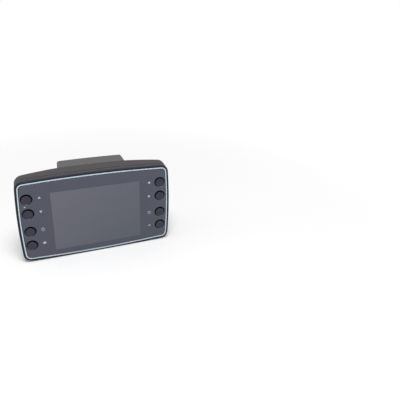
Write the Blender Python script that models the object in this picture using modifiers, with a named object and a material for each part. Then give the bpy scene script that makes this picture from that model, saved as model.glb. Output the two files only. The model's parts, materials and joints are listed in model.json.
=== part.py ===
"""In-vehicle lap timer display: a bow-sided screen unit with eight keys and a drafted rear cover.

The unit stands upright on its base. X runs along the face, Y from the face to the back, Z up.
The origin is on the base, under the middle of the bounding box. All sizes are in metres.
"""

import math

import bmesh
import bpy
from mathutils import Matrix, Vector
from mathutils.geometry import intersect_sphere_sphere_2d

# Front outline: four shallow arcs with round corners
FACE_WIDTH = 0.1221
FACE_HEIGHT = 0.0742
CROWN_RADIUS = 0.980
FLANK_RADIUS = 0.470
CORNER_RADIUS = 0.0060
LAND_TRIM = 0.00025

# Front bezel, trim ring and panel, with depths measured from the panel's face
CLEARANCE = 0.0003
RIM_WIDTH = 0.00125
RIM_FILLET = 0.0009
RIM_DROP = 0.0002
BEZEL_DEPTH = 0.0060
WEB_THICKNESS = 0.0020
TONGUE_LENGTH = 0.0020
TONGUE_WALL = 0.0012
TRIM_WIDTH = 0.0012
TRIM_THICKNESS = 0.0016
TRIM_PROUD = 0.00015
PANEL_THICKNESS = 0.0020

# Display behind the panel
SCREEN_WIDTH = 0.0701
SCREEN_HEIGHT = 0.0526
SCREEN_DROP = 0.0024
DISPLAY_SIDE_BORDER = 0.0030
DISPLAY_END_BORDER = 0.0018
DISPLAY_THICKNESS = 0.0034
GLASS_RECESS = 0.0004
GASKET_WIDTH = 0.0013
GASKET_THICKNESS = 0.0006

# Keys in two columns of four, with their mats and switches
BUTTON_DIAMETER = 0.0085
BUTTON_RECESS = 0.0003
BUTTON_DISH = 0.0006
BUTTON_RIM = 0.0007
BUTTON_EDGE_RADIUS = 0.0004
BUTTON_TRAVEL = 0.0008
BUTTON_FLANGE_LIP = 0.0011
BUTTON_FLANGE_THICKNESS = 0.0008
BUTTON_STEM_DIAMETER = 0.0040
BUTTON_STEM_LENGTH = 0.0004
COLUMN_MARGIN = 0.00845
INNER_ROW = 0.0080
ROW_PITCH = 0.0128
MAT_SHEET = 0.0008
MAT_CUP_DIAMETER = 0.0094
MAT_CUP_WALL = 0.0007
MAT_CUP_ROOF = 0.0004
MAT_MARGIN = 0.0002
SWITCH_WIDTH = 0.0050
SWITCH_BODY = 0.0007
PLUNGER_DIAMETER = 0.0025
PLUNGER_HEIGHT = 0.0006

# Boards and what sits on them
BOARD_THICKNESS = 0.0016
BOARD_MARGIN = 0.0040
SHIELD_WIDTH = 0.0220
SHIELD_HEIGHT = 0.0180
SHIELD_DEPTH = 0.0026
SHIELD_WALL = 0.0004
BUZZER_DIAMETER = 0.0120
BUZZER_DEPTH = 0.0032
BUZZER_MARGIN = 0.0185
SLOT_WIDTH = 0.0011
SLOT_HEIGHT = 0.0090
SLOT_PITCH = 0.0024
SLOT_COUNT = 4

# Rear housing: a shell with a back curved in plan
HOUSING_DEPTH = 0.0207
BACK_RADIUS = 0.303
BACK_FILLET = 0.0030
LIP_WALL = 0.0014
WALL = 0.0025
BACK_WALL = 0.0020
SEAL_WIDTH = 0.0006
SEAL_THICKNESS = 0.0006

# Rear cover: a drafted block seated in a saddle of the housing
COVER_DEPTH = 0.0313
COVER_BASE_WIDTH = 0.0550
COVER_BACK_WIDTH = 0.0500
COVER_SEAT = 0.0170
COVER_STEP = 0.0002
COVER_CORNER = 0.0016
COVER_FILLET = 0.0014
COVER_WALL = 0.0020
COVER_FLANK_RADIUS = 8.0
SEAT_THICKNESS = 0.0020
SADDLE_WALL = 0.0018
SEAT_WINDOW_WIDTH = 0.0330
SEAT_WINDOW_BOTTOM = 0.0230

# Screws, bosses and the four threaded mount inserts
SCREW_SHANK = 0.0024
SCREW_HEAD = 0.0050
SCREW_HEAD_DEPTH = 0.0018
SCREW_SOCKET = 0.0024
SCREW_SOCKET_DEPTH = 0.0010
HOUSING_SCREW_LENGTH = 0.0098
HOUSING_SCREW_GAP = 0.0045
HOUSING_SCREW_MARGIN_Z = 0.0075
HOUSING_SCREW_BEARING = 0.0140
HOUSING_BOSS = 0.0072
BEZEL_BOSS = 0.0052
COVER_SCREW_LENGTH = 0.0080
COVER_SCREW_MARGIN_X = 0.0047
COVER_SCREW_MARGIN_Z = 0.0080
COVER_BOSS = 0.0060
COVER_BOSS_LENGTH = 0.0078
MOUNT_PITCH_X = 0.0381
MOUNT_PITCH_Z = 0.0302
INSERT_DIAMETER = 0.0060
INSERT_BORE = 0.0033
INSERT_LENGTH = 0.0050
INSERT_CHAMFER = 0.0004
INSERT_SINK = 0.0002
INSERT_BOSS = 0.0090

# Battery and satellite antenna inside the rear cover
BATTERY_WIDTH = 0.0280
BATTERY_HEIGHT = 0.0430
BATTERY_THICKNESS = 0.0062
BATTERY_CORNER = 0.0020
PAD_THICKNESS = 0.0008
PAD_BORDER = 0.0025
SHELF_THICKNESS = 0.0020
SHELF_WIDTH = 0.0240
SHELF_DROP = 0.0093
ANTENNA_BOARD_WIDTH = 0.0190
ANTENNA_BOARD_THICKNESS = 0.0010
ANTENNA_BOARD_LENGTH = 0.0166
PATCH_WIDTH = 0.0150
PATCH_THICKNESS = 0.0040

# Data and charging port with its hinged rubber cover
PORT_MARGIN = 0.02105
PORT_Z = -0.0080
PORT_WIDTH = 0.0032
PORT_HEIGHT = 0.0090
PORT_WALL = 0.00035
PORT_SOCKET_DEPTH = 0.0050
PORT_TONGUE_WIDTH = 0.0007
PORT_TONGUE_HEIGHT = 0.0066
FLAP_WIDTH = 0.0094
FLAP_HEIGHT = 0.0154
FLAP_THICKNESS = 0.0017
FLAP_CORNER = 0.0016
FLAP_GRIP_WIDTH = 0.0012
FLAP_GRIP_HEIGHT = 0.0080
FLAP_GRIP_PROUD = 0.0005
FLAP_GRIP_MARGIN = 0.0008
PORT_PAD_MARGIN = 0.0020
PORT_PAD_THICKNESS = 0.0020

# Smallest corner kept on an inset outline, and the facets of each kind of arc
LEAST_CORNER = 0.0006
FLANK_STEPS = 2
CORNER_STEPS = 5
CROWN_STEPS = 4
KEY_STEPS = 16
HOLE_STEPS = 14
SMALL_STEPS = 10
CUT_OVERRUN = 0.0020

# Places that follow from the sizes above
FACE_Y = (TRIM_PROUD - COVER_DEPTH) / 2
FACE_CENTRE = FACE_HEIGHT / 2 - LAND_TRIM
SCREEN_CENTRE = FACE_CENTRE - SCREEN_DROP
WEB_FRONT = PANEL_THICKNESS + CLEARANCE
WEB_BACK = WEB_FRONT + WEB_THICKNESS
TONGUE_END = BEZEL_DEPTH + TONGUE_LENGTH
TRIM_INSET = RIM_WIDTH + CLEARANCE
PANEL_INSET = TRIM_INSET + TRIM_WIDTH + CLEARANCE
TONGUE_INSET = LIP_WALL + CLEARANCE
GASKET_FRONT = PANEL_THICKNESS + CLEARANCE
DISPLAY_FRONT = GASKET_FRONT + GASKET_THICKNESS + CLEARANCE
DISPLAY_WIDTH = SCREEN_WIDTH + 2 * DISPLAY_SIDE_BORDER
DISPLAY_HEIGHT = SCREEN_HEIGHT + 2 * DISPLAY_END_BORDER
BUTTON_FLANGE_FRONT = PANEL_THICKNESS + CLEARANCE
BUTTON_FLANGE = BUTTON_DIAMETER + 2 * BUTTON_FLANGE_LIP
BUTTON_END = BUTTON_FLANGE_FRONT + BUTTON_FLANGE_THICKNESS + BUTTON_STEM_LENGTH
CUP_TOP = BUTTON_END + BUTTON_TRAVEL + CLEARANCE
PLUNGER_TOP = CUP_TOP + MAT_CUP_ROOF + CLEARANCE
SWITCH_TOP = PLUNGER_TOP + PLUNGER_HEIGHT
BOARD_FRONT = max(SWITCH_TOP + SWITCH_BODY, DISPLAY_FRONT + DISPLAY_THICKNESS) + CLEARANCE
BOARD_BACK = BOARD_FRONT + BOARD_THICKNESS
COLUMN_X = FACE_WIDTH / 2 - COLUMN_MARGIN
KEY_ROWS = (INNER_ROW + ROW_PITCH, INNER_ROW, -INNER_ROW, -INNER_ROW - ROW_PITCH)
HOUSING_SCREW_X = DISPLAY_WIDTH / 2 + HOUSING_SCREW_GAP
HOUSING_SCREW_Z = FACE_HEIGHT / 2 - HOUSING_SCREW_MARGIN_Z
SEAT_FACE = COVER_SEAT - CLEARANCE
COVER_SCREW_X = COVER_BASE_WIDTH / 2 - COVER_SCREW_MARGIN_X
COVER_SCREW_Z = FACE_HEIGHT / 2 - COVER_SCREW_MARGIN_Z
SHELF_TOP = FACE_CENTRE + FACE_HEIGHT / 2 - SHELF_DROP
SCREW_BORE = SCREW_SHANK + 2 * CLEARANCE
PORT_X = FACE_WIDTH / 2 - PORT_MARGIN
PORT_LEAN = math.atan(PORT_X / BACK_RADIUS)
BUZZER_X = BUZZER_MARGIN - FACE_WIDTH / 2

parts = bpy.data.collections.new("lap_timer_display")
cutters = bpy.data.collections.new("cutters")


def at(depth):
    """Y of a plane that lies this far behind the panel's face."""
    return FACE_Y + depth


def housing_back(x):
    """Depth of the housing's curved back at this distance from the middle."""
    return HOUSING_DEPTH - x * x / (2 * BACK_RADIUS)


def finish(name, colour, roughness, metallic=0.0):
    material = bpy.data.materials.new(name)
    material.use_nodes = True
    shader = material.node_tree.nodes["Principled BSDF"]
    shader.inputs["Base Color"].default_value = (*colour, 1.0)
    shader.inputs["Roughness"].default_value = roughness
    shader.inputs["Metallic"].default_value = metallic
    material.diffuse_color = (*colour, 1.0)
    return material


def arc(centre, radius, start, end, steps):
    angles = [start + (end - start) * step / steps for step in range(steps + 1)]
    return [(centre[0] + radius * math.cos(a), centre[1] + radius * math.sin(a)) for a in angles]


def heading(vector):
    return math.atan2(vector[1], vector[0])


def bowed_outline(half_width, half_height, crown, flank, corner):
    """Closed outline of four shallow arcs whose corner arcs are tangent to both neighbours."""
    crown_centre = Vector((0.0, half_height - crown))
    flank_centre = Vector((half_width - flank, 0.0))
    meetings = intersect_sphere_sphere_2d(crown_centre, crown - corner, flank_centre, flank - corner)
    corner_centre = max(meetings, key=lambda point: point.x + point.y)
    flank_end = heading(corner_centre - flank_centre)
    crown_start = heading(corner_centre - crown_centre)
    quarter = arc(flank_centre, flank, 0.0, flank_end, FLANK_STEPS)
    quarter += arc(corner_centre, corner, flank_end, crown_start, CORNER_STEPS)[1:]
    quarter += arc(crown_centre, crown, crown_start, math.pi / 2, CROWN_STEPS)[1:]
    upper = quarter + [(-x, z) for x, z in reversed(quarter[:-1])]
    return upper + [(x, -z) for x, z in reversed(upper[1:-1])]


def face_outline(inset=0.0):
    """The front outline, drawn parallel to the housing's edge."""
    corner = max(CORNER_RADIUS - inset, LEAST_CORNER)
    half_width = FACE_WIDTH / 2 - inset
    half_height = FACE_HEIGHT / 2 - inset
    return bowed_outline(half_width, half_height, CROWN_RADIUS - inset, FLANK_RADIUS - inset, corner)


def rounded_rectangle(width, height, radius, steps=3):
    corners = ((1, 1), (-1, 1), (-1, -1), (1, -1))
    points = []
    for quarter, (side, end) in enumerate(corners):
        centre = (side * (width / 2 - radius), end * (height / 2 - radius))
        points += arc(centre, radius, quarter * math.pi / 2, (quarter + 1) * math.pi / 2, steps)
    return points


def shade(mesh):
    mesh.shade_smooth()
    mesh.set_sharp_from_angle(angle=math.radians(35))


def add_part(obj, material):
    obj.data.materials.append(material)
    return obj


def flat_solid(name, outline, front, back, holes=(), centre=(0.0, FACE_CENTRE), fillet=None):
    """A flat outline in the plane of the face, given its thickness between two depths.

    fillet is ("front" or "back", radius, segments) and rounds that rim.
    """
    curve = bpy.data.curves.new(name, "CURVE")
    curve.dimensions = "2D"
    curve.fill_mode = "BOTH"
    curve.extrude = (back - front) / 2
    for loop in (outline, *holes):
        spline = curve.splines.new("POLY")
        spline.points.add(len(loop) - 1)
        for point, (x, z) in zip(spline.points, loop):
            point.co = (x, z, 0.0, 1.0)
        spline.use_cyclic_u = True
    guide = bpy.data.objects.new(name + "_outline", curve)
    guide.location = (centre[0], at((front + back) / 2), centre[1])
    guide.rotation_euler.x = math.pi / 2
    parts.objects.link(guide)
    bpy.context.view_layer.update()
    graph = bpy.context.evaluated_depsgraph_get()
    mesh = bpy.data.meshes.new_from_object(guide.evaluated_get(graph))
    mesh.name = name
    weld_caps(mesh, one_loop=not holes)
    solid = bpy.data.objects.new(name, mesh)
    solid.matrix_world = guide.matrix_world
    bpy.data.objects.remove(guide)
    parts.objects.link(solid)
    if fillet:
        round_rim(solid, *fillet)
    shade(mesh)
    return solid


def weld_caps(mesh, one_loop):
    """Joins the loose caps to the wall, and makes each cap without holes a single face."""
    sheet = bmesh.new()
    sheet.from_mesh(mesh)
    bmesh.ops.remove_doubles(sheet, verts=sheet.verts, dist=1e-6)
    if one_loop:
        inner = [e for e in sheet.edges if all(abs(f.normal.z) > 0.99 for f in e.link_faces)]
        bmesh.ops.dissolve_edges(sheet, edges=inner, use_verts=False)
    bmesh.ops.recalc_face_normals(sheet, faces=sheet.faces)
    sheet.to_mesh(mesh)
    sheet.free()


def cap_z(mesh, side):
    """Height of a cap in the solid's own frame, whose Z points out of the face."""
    heights = [vertex.co.z for vertex in mesh.vertices]
    return max(heights) if side == "front" else min(heights)


def round_rim(solid, side, radius, segments):
    level = cap_z(solid.data, side)
    weights = solid.data.attributes.new("bevel_weight_edge", "FLOAT", "EDGE")
    for edge, weight in zip(solid.data.edges, weights.data):
        ends = [solid.data.vertices[index].co.z for index in edge.vertices]
        weight.value = float(all(abs(z - level) < 1e-6 for z in ends))
    bevel = solid.modifiers.new("rim_fillet", "BEVEL")
    bevel.limit_method = "WEIGHT"
    bevel.width = radius
    bevel.segments = segments


def turned(name, profile, location, steps, facing="front", closed=False):
    """A profile of (radius, height), listed down its outer side, turned about the depth axis."""
    points = [(radius, 0.0, height) for radius, height in profile]
    edges = [(index, index + 1) for index in range(len(points) - 1)]
    if closed:
        edges.append((len(points) - 1, 0))
    mesh = bpy.data.meshes.new(name)
    mesh.from_pydata(points, edges, [])
    solid = bpy.data.objects.new(name, mesh)
    solid.location = location
    solid.rotation_euler.x = math.pi / 2 if facing == "front" else -math.pi / 2
    parts.objects.link(solid)
    screw = solid.modifiers.new("turn", "SCREW")
    screw.axis = "Z"
    screw.steps = steps
    screw.render_steps = steps
    screw.use_merge_vertices = True
    screw.merge_threshold = 1e-6
    screw.use_smooth_shade = True
    return solid


def pins(name, places, radius, front, back, steps=HOLE_STEPS):
    """Cylinders along the depth axis at the given (x, z) places, as one cutter or joining piece."""
    mesh = bpy.data.meshes.new(name)
    rods = bmesh.new()
    for x, z in places:
        matrix = Matrix.Translation((x, at((front + back) / 2), z)) @ Matrix.Rotation(math.pi / 2, 4, "X")
        bmesh.ops.create_cone(
            rods,
            cap_ends=True,
            segments=steps,
            radius1=radius,
            radius2=radius,
            depth=back - front,
            matrix=matrix,
        )
    rods.to_mesh(mesh)
    rods.free()
    solid = bpy.data.objects.new(name, mesh)
    parts.objects.link(solid)
    return solid


def block(name, low, high):
    """A box between two corners, with Y given as a depth behind the face."""
    size = [end - start for start, end in zip(low, high)]
    middle = [(start + end) / 2 for start, end in zip(low, high)]
    matrix = Matrix.Translation((middle[0], at(middle[1]), middle[2])) @ Matrix.Diagonal((*size, 1.0))
    mesh = bpy.data.meshes.new(name)
    cube = bmesh.new()
    bmesh.ops.create_cube(cube, size=1.0, matrix=matrix)
    cube.to_mesh(mesh)
    cube.free()
    solid = bpy.data.objects.new(name, mesh)
    parts.objects.link(solid)
    return solid


def combine(target, tool, operation):
    if tool.name in parts.objects:
        parts.objects.unlink(tool)
        cutters.objects.link(tool)
    tool.hide_render = True
    tool.display_type = "WIRE"
    modifier = target.modifiers.new(tool.name, "BOOLEAN")
    modifier.operation = operation
    modifier.object = tool


def cut(target, *tools):
    for tool in tools:
        combine(target, tool, "DIFFERENCE")


def join(target, *pieces):
    for piece in pieces:
        combine(target, piece, "UNION")


def four(x, z, centre=FACE_CENTRE):
    return [(side * x, centre + end * z) for end in (1, -1) for side in (-1, 1)]


def key_places():
    """Name and (x, z) of each key: left column then right column, top to bottom."""
    for side, x in (("left", -COLUMN_X), ("right", COLUMN_X)):
        for row, z in enumerate(KEY_ROWS, start=1):
            yield f"{side}_{row}", (x, FACE_CENTRE + z)


def housing_form(name, inset, front, depth, fillet):
    """The housing's body: the face outline run back to a rear that is curved in plan and filleted."""
    outline = face_outline(inset)
    crown_end = outline[FLANK_STEPS + CORNER_STEPS][0]
    solid = flat_solid(name, outline, front, depth, fillet=("back", fillet, 4))
    level = cap_z(solid.data, "back")
    body = bmesh.new()
    body.from_mesh(solid.data)
    rear = [vertex for vertex in body.verts if abs(vertex.co.z - level) < 1e-6]
    crown = [vertex for vertex in rear if vertex.co.y > 0.0 and abs(vertex.co.x) < crown_end + 1e-6]
    for top in crown:
        foot = min(rear, key=lambda v: abs(v.co.x - top.co.x) + abs(v.co.y + top.co.y))
        bmesh.ops.connect_vert_pair(body, verts=[top, foot])
    for vertex in rear:
        vertex.co.z += vertex.co.x**2 / (2 * BACK_RADIUS)
    body.to_mesh(solid.data)
    body.free()
    return solid


def cover_half_width(depth):
    """Half the rear cover's width at a depth: the sides draw in towards the back."""
    share = (depth - COVER_SEAT) / (COVER_DEPTH - COVER_SEAT)
    return COVER_BASE_WIDTH / 2 + share * (COVER_BACK_WIDTH - COVER_BASE_WIDTH) / 2


def cover_form(name, inset, front, back, fillet=None):
    """The rear cover's drafted body, grown or shrunk by inset on its four sides."""
    half_width = cover_half_width(front) - inset
    half_height = FACE_HEIGHT / 2 - inset
    corner = max(COVER_CORNER - inset, LEAST_CORNER)
    outline = bowed_outline(half_width, half_height, CROWN_RADIUS, COVER_FLANK_RADIUS, corner)
    centre = (0.0, FACE_CENTRE - COVER_STEP)
    solid = flat_solid(name, outline, front, back, centre=centre, fillet=fillet)
    level = cap_z(solid.data, "back")
    draft = (cover_half_width(back) - inset) / half_width
    for vertex in solid.data.vertices:
        if abs(vertex.co.z - level) < 1e-6:
            vertex.co.x *= draft
    return solid


def front_bezel(base):
    bezel = flat_solid("front_bezel", face_outline(), RIM_DROP, TONGUE_END, fillet=("front", RIM_FILLET, 3))
    rabbet_hole = face_outline(TONGUE_INSET)
    rabbet_end = TONGUE_END + CUT_OVERRUN
    display = rounded_rectangle(DISPLAY_WIDTH + 2 * CLEARANCE, DISPLAY_HEIGHT + 2 * CLEARANCE, LEAST_CORNER)
    screen_place = (0.0, SCREEN_CENTRE)
    keys = [place for _, place in key_places()]
    bores = BUTTON_FLANGE / 2 + CLEARANCE
    screws = four(HOUSING_SCREW_X, HOUSING_SCREW_Z)
    boss_end = BOARD_FRONT - CLEARANCE
    boss_root = WEB_BACK - WEB_THICKNESS / 2
    cut(
        bezel,
        flat_solid("panel_pocket", face_outline(RIM_WIDTH), -CUT_OVERRUN, WEB_FRONT),
        flat_solid("bezel_cavity", face_outline(TONGUE_INSET + TONGUE_WALL), WEB_BACK, rabbet_end),
        flat_solid("tongue_rabbet", face_outline(-CUT_OVERRUN), BEZEL_DEPTH, rabbet_end, [rabbet_hole]),
        flat_solid("display_opening", display, 0.0, rabbet_end, centre=screen_place),
        pins("key_bores", keys, bores, 0.0, WEB_BACK + CUT_OVERRUN, KEY_STEPS),
    )
    join(bezel, pins("bezel_bosses", screws, BEZEL_BOSS / 2, boss_root, boss_end))
    pilot_end = HOUSING_SCREW_BEARING - HOUSING_SCREW_LENGTH - CLEARANCE
    cut(bezel, pins("bezel_pilots", screws, SCREW_BORE / 2, pilot_end, boss_end + CUT_OVERRUN, SMALL_STEPS))
    cut(bezel, base)
    return bezel


def trim_ring():
    inner = face_outline(TRIM_INSET + TRIM_WIDTH)
    back = TRIM_THICKNESS - TRIM_PROUD
    return flat_solid("trim_ring", face_outline(TRIM_INSET), -TRIM_PROUD, back, [inner])


def front_panel():
    panel = flat_solid("front_panel", face_outline(PANEL_INSET), 0.0, PANEL_THICKNESS)
    keys = [place for _, place in key_places()]
    radius = BUTTON_DIAMETER / 2 + CLEARANCE
    cut(panel, pins("panel_holes", keys, radius, -CUT_OVERRUN, PANEL_THICKNESS + CUT_OVERRUN, KEY_STEPS))
    return panel


def button(name, place):
    """A key cap: dished head below the panel's face, body, retaining flange and stem."""
    radius = BUTTON_DIAMETER / 2
    dish = radius - BUTTON_RIM
    edge_centre = (radius - BUTTON_EDGE_RADIUS, -BUTTON_RECESS - BUTTON_EDGE_RADIUS)
    flange_back = BUTTON_FLANGE_FRONT + BUTTON_FLANGE_THICKNESS
    profile = [(0.0, -BUTTON_RECESS - BUTTON_DISH)]
    profile += [(dish / 2, -BUTTON_RECESS - BUTTON_DISH * 0.75), (dish, -BUTTON_RECESS)]
    profile += arc(edge_centre, BUTTON_EDGE_RADIUS, math.pi / 2, 0.0, 2)
    profile += [
        (radius, -BUTTON_FLANGE_FRONT),
        (BUTTON_FLANGE / 2, -BUTTON_FLANGE_FRONT),
        (BUTTON_FLANGE / 2, -flange_back),
        (BUTTON_STEM_DIAMETER / 2, -flange_back),
        (BUTTON_STEM_DIAMETER / 2, -BUTTON_END),
        (0.0, -BUTTON_END),
    ]
    return turned("button_" + name, profile, (place[0], at(0.0), place[1]), KEY_STEPS)


def keypad_mat(side):
    """A rubber sheet on the board with one hollow cup over each switch."""
    sign = -1 if side == "left" else 1
    cups = [(sign * COLUMN_X, FACE_CENTRE + z) for z in KEY_ROWS]
    width = MAT_CUP_DIAMETER + 2 * MAT_MARGIN
    height = KEY_ROWS[0] - KEY_ROWS[-1] + width
    sheet_back = BOARD_FRONT - CLEARANCE
    outline = rounded_rectangle(width, height, (width - CLEARANCE) / 2, 6)
    centre = (sign * COLUMN_X, FACE_CENTRE)
    mat = flat_solid("keypad_mat_" + side, outline, sheet_back - MAT_SHEET, sheet_back, centre=centre)
    hollow = MAT_CUP_DIAMETER / 2 - MAT_CUP_WALL
    roof = CUP_TOP + MAT_CUP_ROOF
    join(mat, pins(f"cups_{side}", cups, MAT_CUP_DIAMETER / 2, CUP_TOP, sheet_back - MAT_SHEET / 2))
    cut(mat, pins(f"cup_hollows_{side}", cups, hollow, roof, sheet_back + CUT_OVERRUN))
    return mat


def tact_switch(name, place):
    body_back = BOARD_FRONT - CLEARANCE
    outline = rounded_rectangle(SWITCH_WIDTH, SWITCH_WIDTH, LEAST_CORNER, 1)
    switch = flat_solid("switch_" + name, outline, SWITCH_TOP, body_back, centre=place)
    root = (SWITCH_TOP + body_back) / 2
    radius = PLUNGER_DIAMETER / 2
    join(switch, pins("plunger_" + name, [place], radius, PLUNGER_TOP, root, SMALL_STEPS))
    return switch


def display_gasket():
    place = (0.0, SCREEN_CENTRE)
    inner = rounded_rectangle(SCREEN_WIDTH + 2 * CLEARANCE, SCREEN_HEIGHT + 2 * CLEARANCE, LEAST_CORNER, 1)
    width = SCREEN_WIDTH + 2 * (CLEARANCE + GASKET_WIDTH)
    height = SCREEN_HEIGHT + 2 * (CLEARANCE + GASKET_WIDTH)
    outline = rounded_rectangle(width, height, LEAST_CORNER, 1)
    back = GASKET_FRONT + GASKET_THICKNESS
    return flat_solid("display_gasket", outline, GASKET_FRONT, back, [inner], centre=place)


def display_module():
    place = (0.0, SCREEN_CENTRE)
    outline = rounded_rectangle(DISPLAY_WIDTH, DISPLAY_HEIGHT, LEAST_CORNER, 1)
    back = DISPLAY_FRONT + DISPLAY_THICKNESS
    module = flat_solid("display_module", outline, DISPLAY_FRONT, back, centre=place)
    glass = rounded_rectangle(SCREEN_WIDTH, SCREEN_HEIGHT, LEAST_CORNER, 1)
    recess = DISPLAY_FRONT + GLASS_RECESS
    cut(module, flat_solid("glass_recess", glass, DISPLAY_FRONT - CUT_OVERRUN, recess, centre=place))
    return module


def main_board():
    board = flat_solid("main_board", face_outline(BOARD_MARGIN), BOARD_FRONT, BOARD_BACK)
    holes = four(HOUSING_SCREW_X, HOUSING_SCREW_Z)
    front = BOARD_FRONT - CUT_OVERRUN
    cut(board, pins("board_holes", holes, SCREW_BORE / 2, front, BOARD_BACK + CUT_OVERRUN, SMALL_STEPS))
    return board


def shield_can():
    """A pressed cover over the radio section, open towards the board."""
    place = (-BATTERY_WIDTH / 2, FACE_CENTRE)
    front = BOARD_BACK + CLEARANCE
    roof = front + SHIELD_DEPTH
    outline = rounded_rectangle(SHIELD_WIDTH, SHIELD_HEIGHT, LEAST_CORNER, 2)
    can = flat_solid("shield_can", outline, front, roof, centre=place)
    inner_width = SHIELD_WIDTH - 2 * SHIELD_WALL
    inner = rounded_rectangle(inner_width, SHIELD_HEIGHT - 2 * SHIELD_WALL, LEAST_CORNER, 2)
    cut(can, flat_solid("shield_hollow", inner, front - CUT_OVERRUN, roof - SHIELD_WALL, centre=place))
    return can


def buzzer():
    """A round sounder on the back of the board, with its small port."""
    radius = BUZZER_DIAMETER / 2
    port = BUZZER_DIAMETER / 10
    base = BOARD_BACK + CLEARANCE
    profile = [
        (0.0, BUZZER_DEPTH - port),
        (port, BUZZER_DEPTH - port),
        (port, BUZZER_DEPTH),
        (radius, BUZZER_DEPTH),
        (radius, 0.0),
        (0.0, 0.0),
    ]
    return turned("buzzer", profile, (BUZZER_X, at(base), FACE_CENTRE), HOLE_STEPS, "back")


def sound_slots():
    """Upright slots through the housing's back, behind the sounder."""
    slots = []
    for index in range(SLOT_COUNT):
        shift = (index - (SLOT_COUNT - 1) / 2) * SLOT_PITCH
        outline = rounded_rectangle(SLOT_WIDTH, SLOT_HEIGHT, SLOT_WIDTH / 3, 1)
        slots.append([(x + shift, z) for x, z in outline])
    front = housing_back(BUZZER_X) - BACK_WALL - CUT_OVERRUN
    back = HOUSING_DEPTH + CUT_OVERRUN
    return flat_solid("sound_slots", slots[0], front, back, slots[1:], (BUZZER_X, FACE_CENTRE))


def rear_housing(base):
    """The moulded shell: bowed sides, curved back, a saddle for the rear cover, bosses and port."""
    front = BEZEL_DEPTH + CLEARANCE
    mouth = front - CUT_OVERRUN
    shoulder = TONGUE_END + SEAL_THICKNESS + 2 * CLEARANCE
    housing = housing_form("rear_housing", 0.0, front, HOUSING_DEPTH, BACK_FILLET)
    inner_fillet = max(BACK_FILLET - BACK_WALL, LEAST_CORNER)
    cut(
        housing,
        housing_form("housing_cavity", WALL, mouth, HOUSING_DEPTH - BACK_WALL, inner_fillet),
        flat_solid("lip_pocket", face_outline(LIP_WALL), mouth, shoulder),
    )
    seat_front = SEAT_FACE - SEAT_THICKNESS
    window_top = SHELF_TOP + ANTENNA_BOARD_THICKNESS + PATCH_THICKNESS + 3 * CLEARANCE - FACE_CENTRE
    window_height = window_top + SEAT_WINDOW_BOTTOM
    window = rounded_rectangle(SEAT_WINDOW_WIDTH, window_height, COVER_CORNER)
    window_place = (0.0, FACE_CENTRE + (window_top - SEAT_WINDOW_BOTTOM) / 2)
    screws = four(HOUSING_SCREW_X, HOUSING_SCREW_Z)
    boss_back = housing_back(HOUSING_SCREW_X) - BACK_WALL / 2
    saddle_back = housing_back(COVER_BASE_WIDTH / 2 + SADDLE_WALL) - BACK_WALL / 2
    far_back = COVER_DEPTH + CUT_OVERRUN
    head_bore = SCREW_HEAD / 2 + CLEARANCE
    shank_bore = SCREW_BORE / 2
    seat_cut = seat_front - CUT_OVERRUN
    join(
        housing,
        saddle_block(seat_front, saddle_back),
        pins("housing_bosses", screws, HOUSING_BOSS / 2, BOARD_BACK + CLEARANCE, boss_back),
        port_pad(),
    )
    cut(
        housing,
        cover_form("saddle", -CLEARANCE, SEAT_FACE, far_back),
        flat_solid("seat_window", window, seat_cut, far_back, centre=window_place),
        pins("seat_holes", cover_screw_places(), shank_bore, seat_cut, far_back, SMALL_STEPS),
        pins("housing_bores", screws, shank_bore, BOARD_BACK - CUT_OVERRUN, far_back, SMALL_STEPS),
        pins("head_bores", screws, head_bore, HOUSING_SCREW_BEARING - CLEARANCE, far_back),
        port_pocket(),
        port_hole(),
        sound_slots(),
        base,
    )
    return housing


def saddle_block(front, back):
    """Stock round the rear cover's foot, kept inside the housing's top and bottom walls."""
    width = COVER_BASE_WIDTH + 2 * SADDLE_WALL
    height = FACE_HEIGHT - 2 * WALL + BACK_WALL
    outline = rounded_rectangle(width, height, COVER_CORNER)
    return flat_solid("saddle_block", outline, front, back)


def cover_screw_places():
    return four(COVER_SCREW_X, COVER_SCREW_Z)


def flap_depths():
    """Front and back face of the port cover at its middle, flush with the housing."""
    back = housing_back(PORT_X)
    return back - FLAP_THICKNESS, back


def lean(solid):
    """Turns a piece of the port about the upright, to lie along the housing's curved back."""
    pivot = Matrix.Translation((PORT_X, at(flap_depths()[1]), FACE_CENTRE + PORT_Z))
    solid.matrix_world = pivot @ Matrix.Rotation(-PORT_LEAN, 4, "Z") @ pivot.inverted() @ solid.matrix_world
    return solid


def port_pad():
    floor = flap_depths()[0] - CLEARANCE
    width = FLAP_WIDTH + 2 * (CLEARANCE + PORT_PAD_MARGIN)
    height = FLAP_HEIGHT + 2 * (CLEARANCE + PORT_PAD_MARGIN)
    outline = rounded_rectangle(width, height, FLAP_CORNER)
    back = housing_back(PORT_X) - BACK_WALL / 2
    place = (PORT_X, FACE_CENTRE + PORT_Z)
    return lean(flat_solid("port_pad", outline, floor - PORT_PAD_THICKNESS, back, centre=place))


def port_pocket():
    floor = flap_depths()[0] - CLEARANCE
    width = FLAP_WIDTH + 2 * CLEARANCE
    outline = rounded_rectangle(width, FLAP_HEIGHT + 2 * CLEARANCE, FLAP_CORNER + CLEARANCE)
    place = (PORT_X, FACE_CENTRE + PORT_Z)
    return lean(flat_solid("port_pocket", outline, floor, HOUSING_DEPTH + CUT_OVERRUN, centre=place))


def port_hole():
    floor = flap_depths()[0] - CLEARANCE
    width = PORT_WIDTH + 2 * CLEARANCE
    outline = rounded_rectangle(width, PORT_HEIGHT + 2 * CLEARANCE, width / 2 - CLEARANCE / 2, 4)
    place = (PORT_X, FACE_CENTRE + PORT_Z)
    front = floor - PORT_PAD_THICKNESS - CUT_OVERRUN
    return flat_solid("port_hole", outline, front, HOUSING_DEPTH + CUT_OVERRUN, centre=place)


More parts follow.
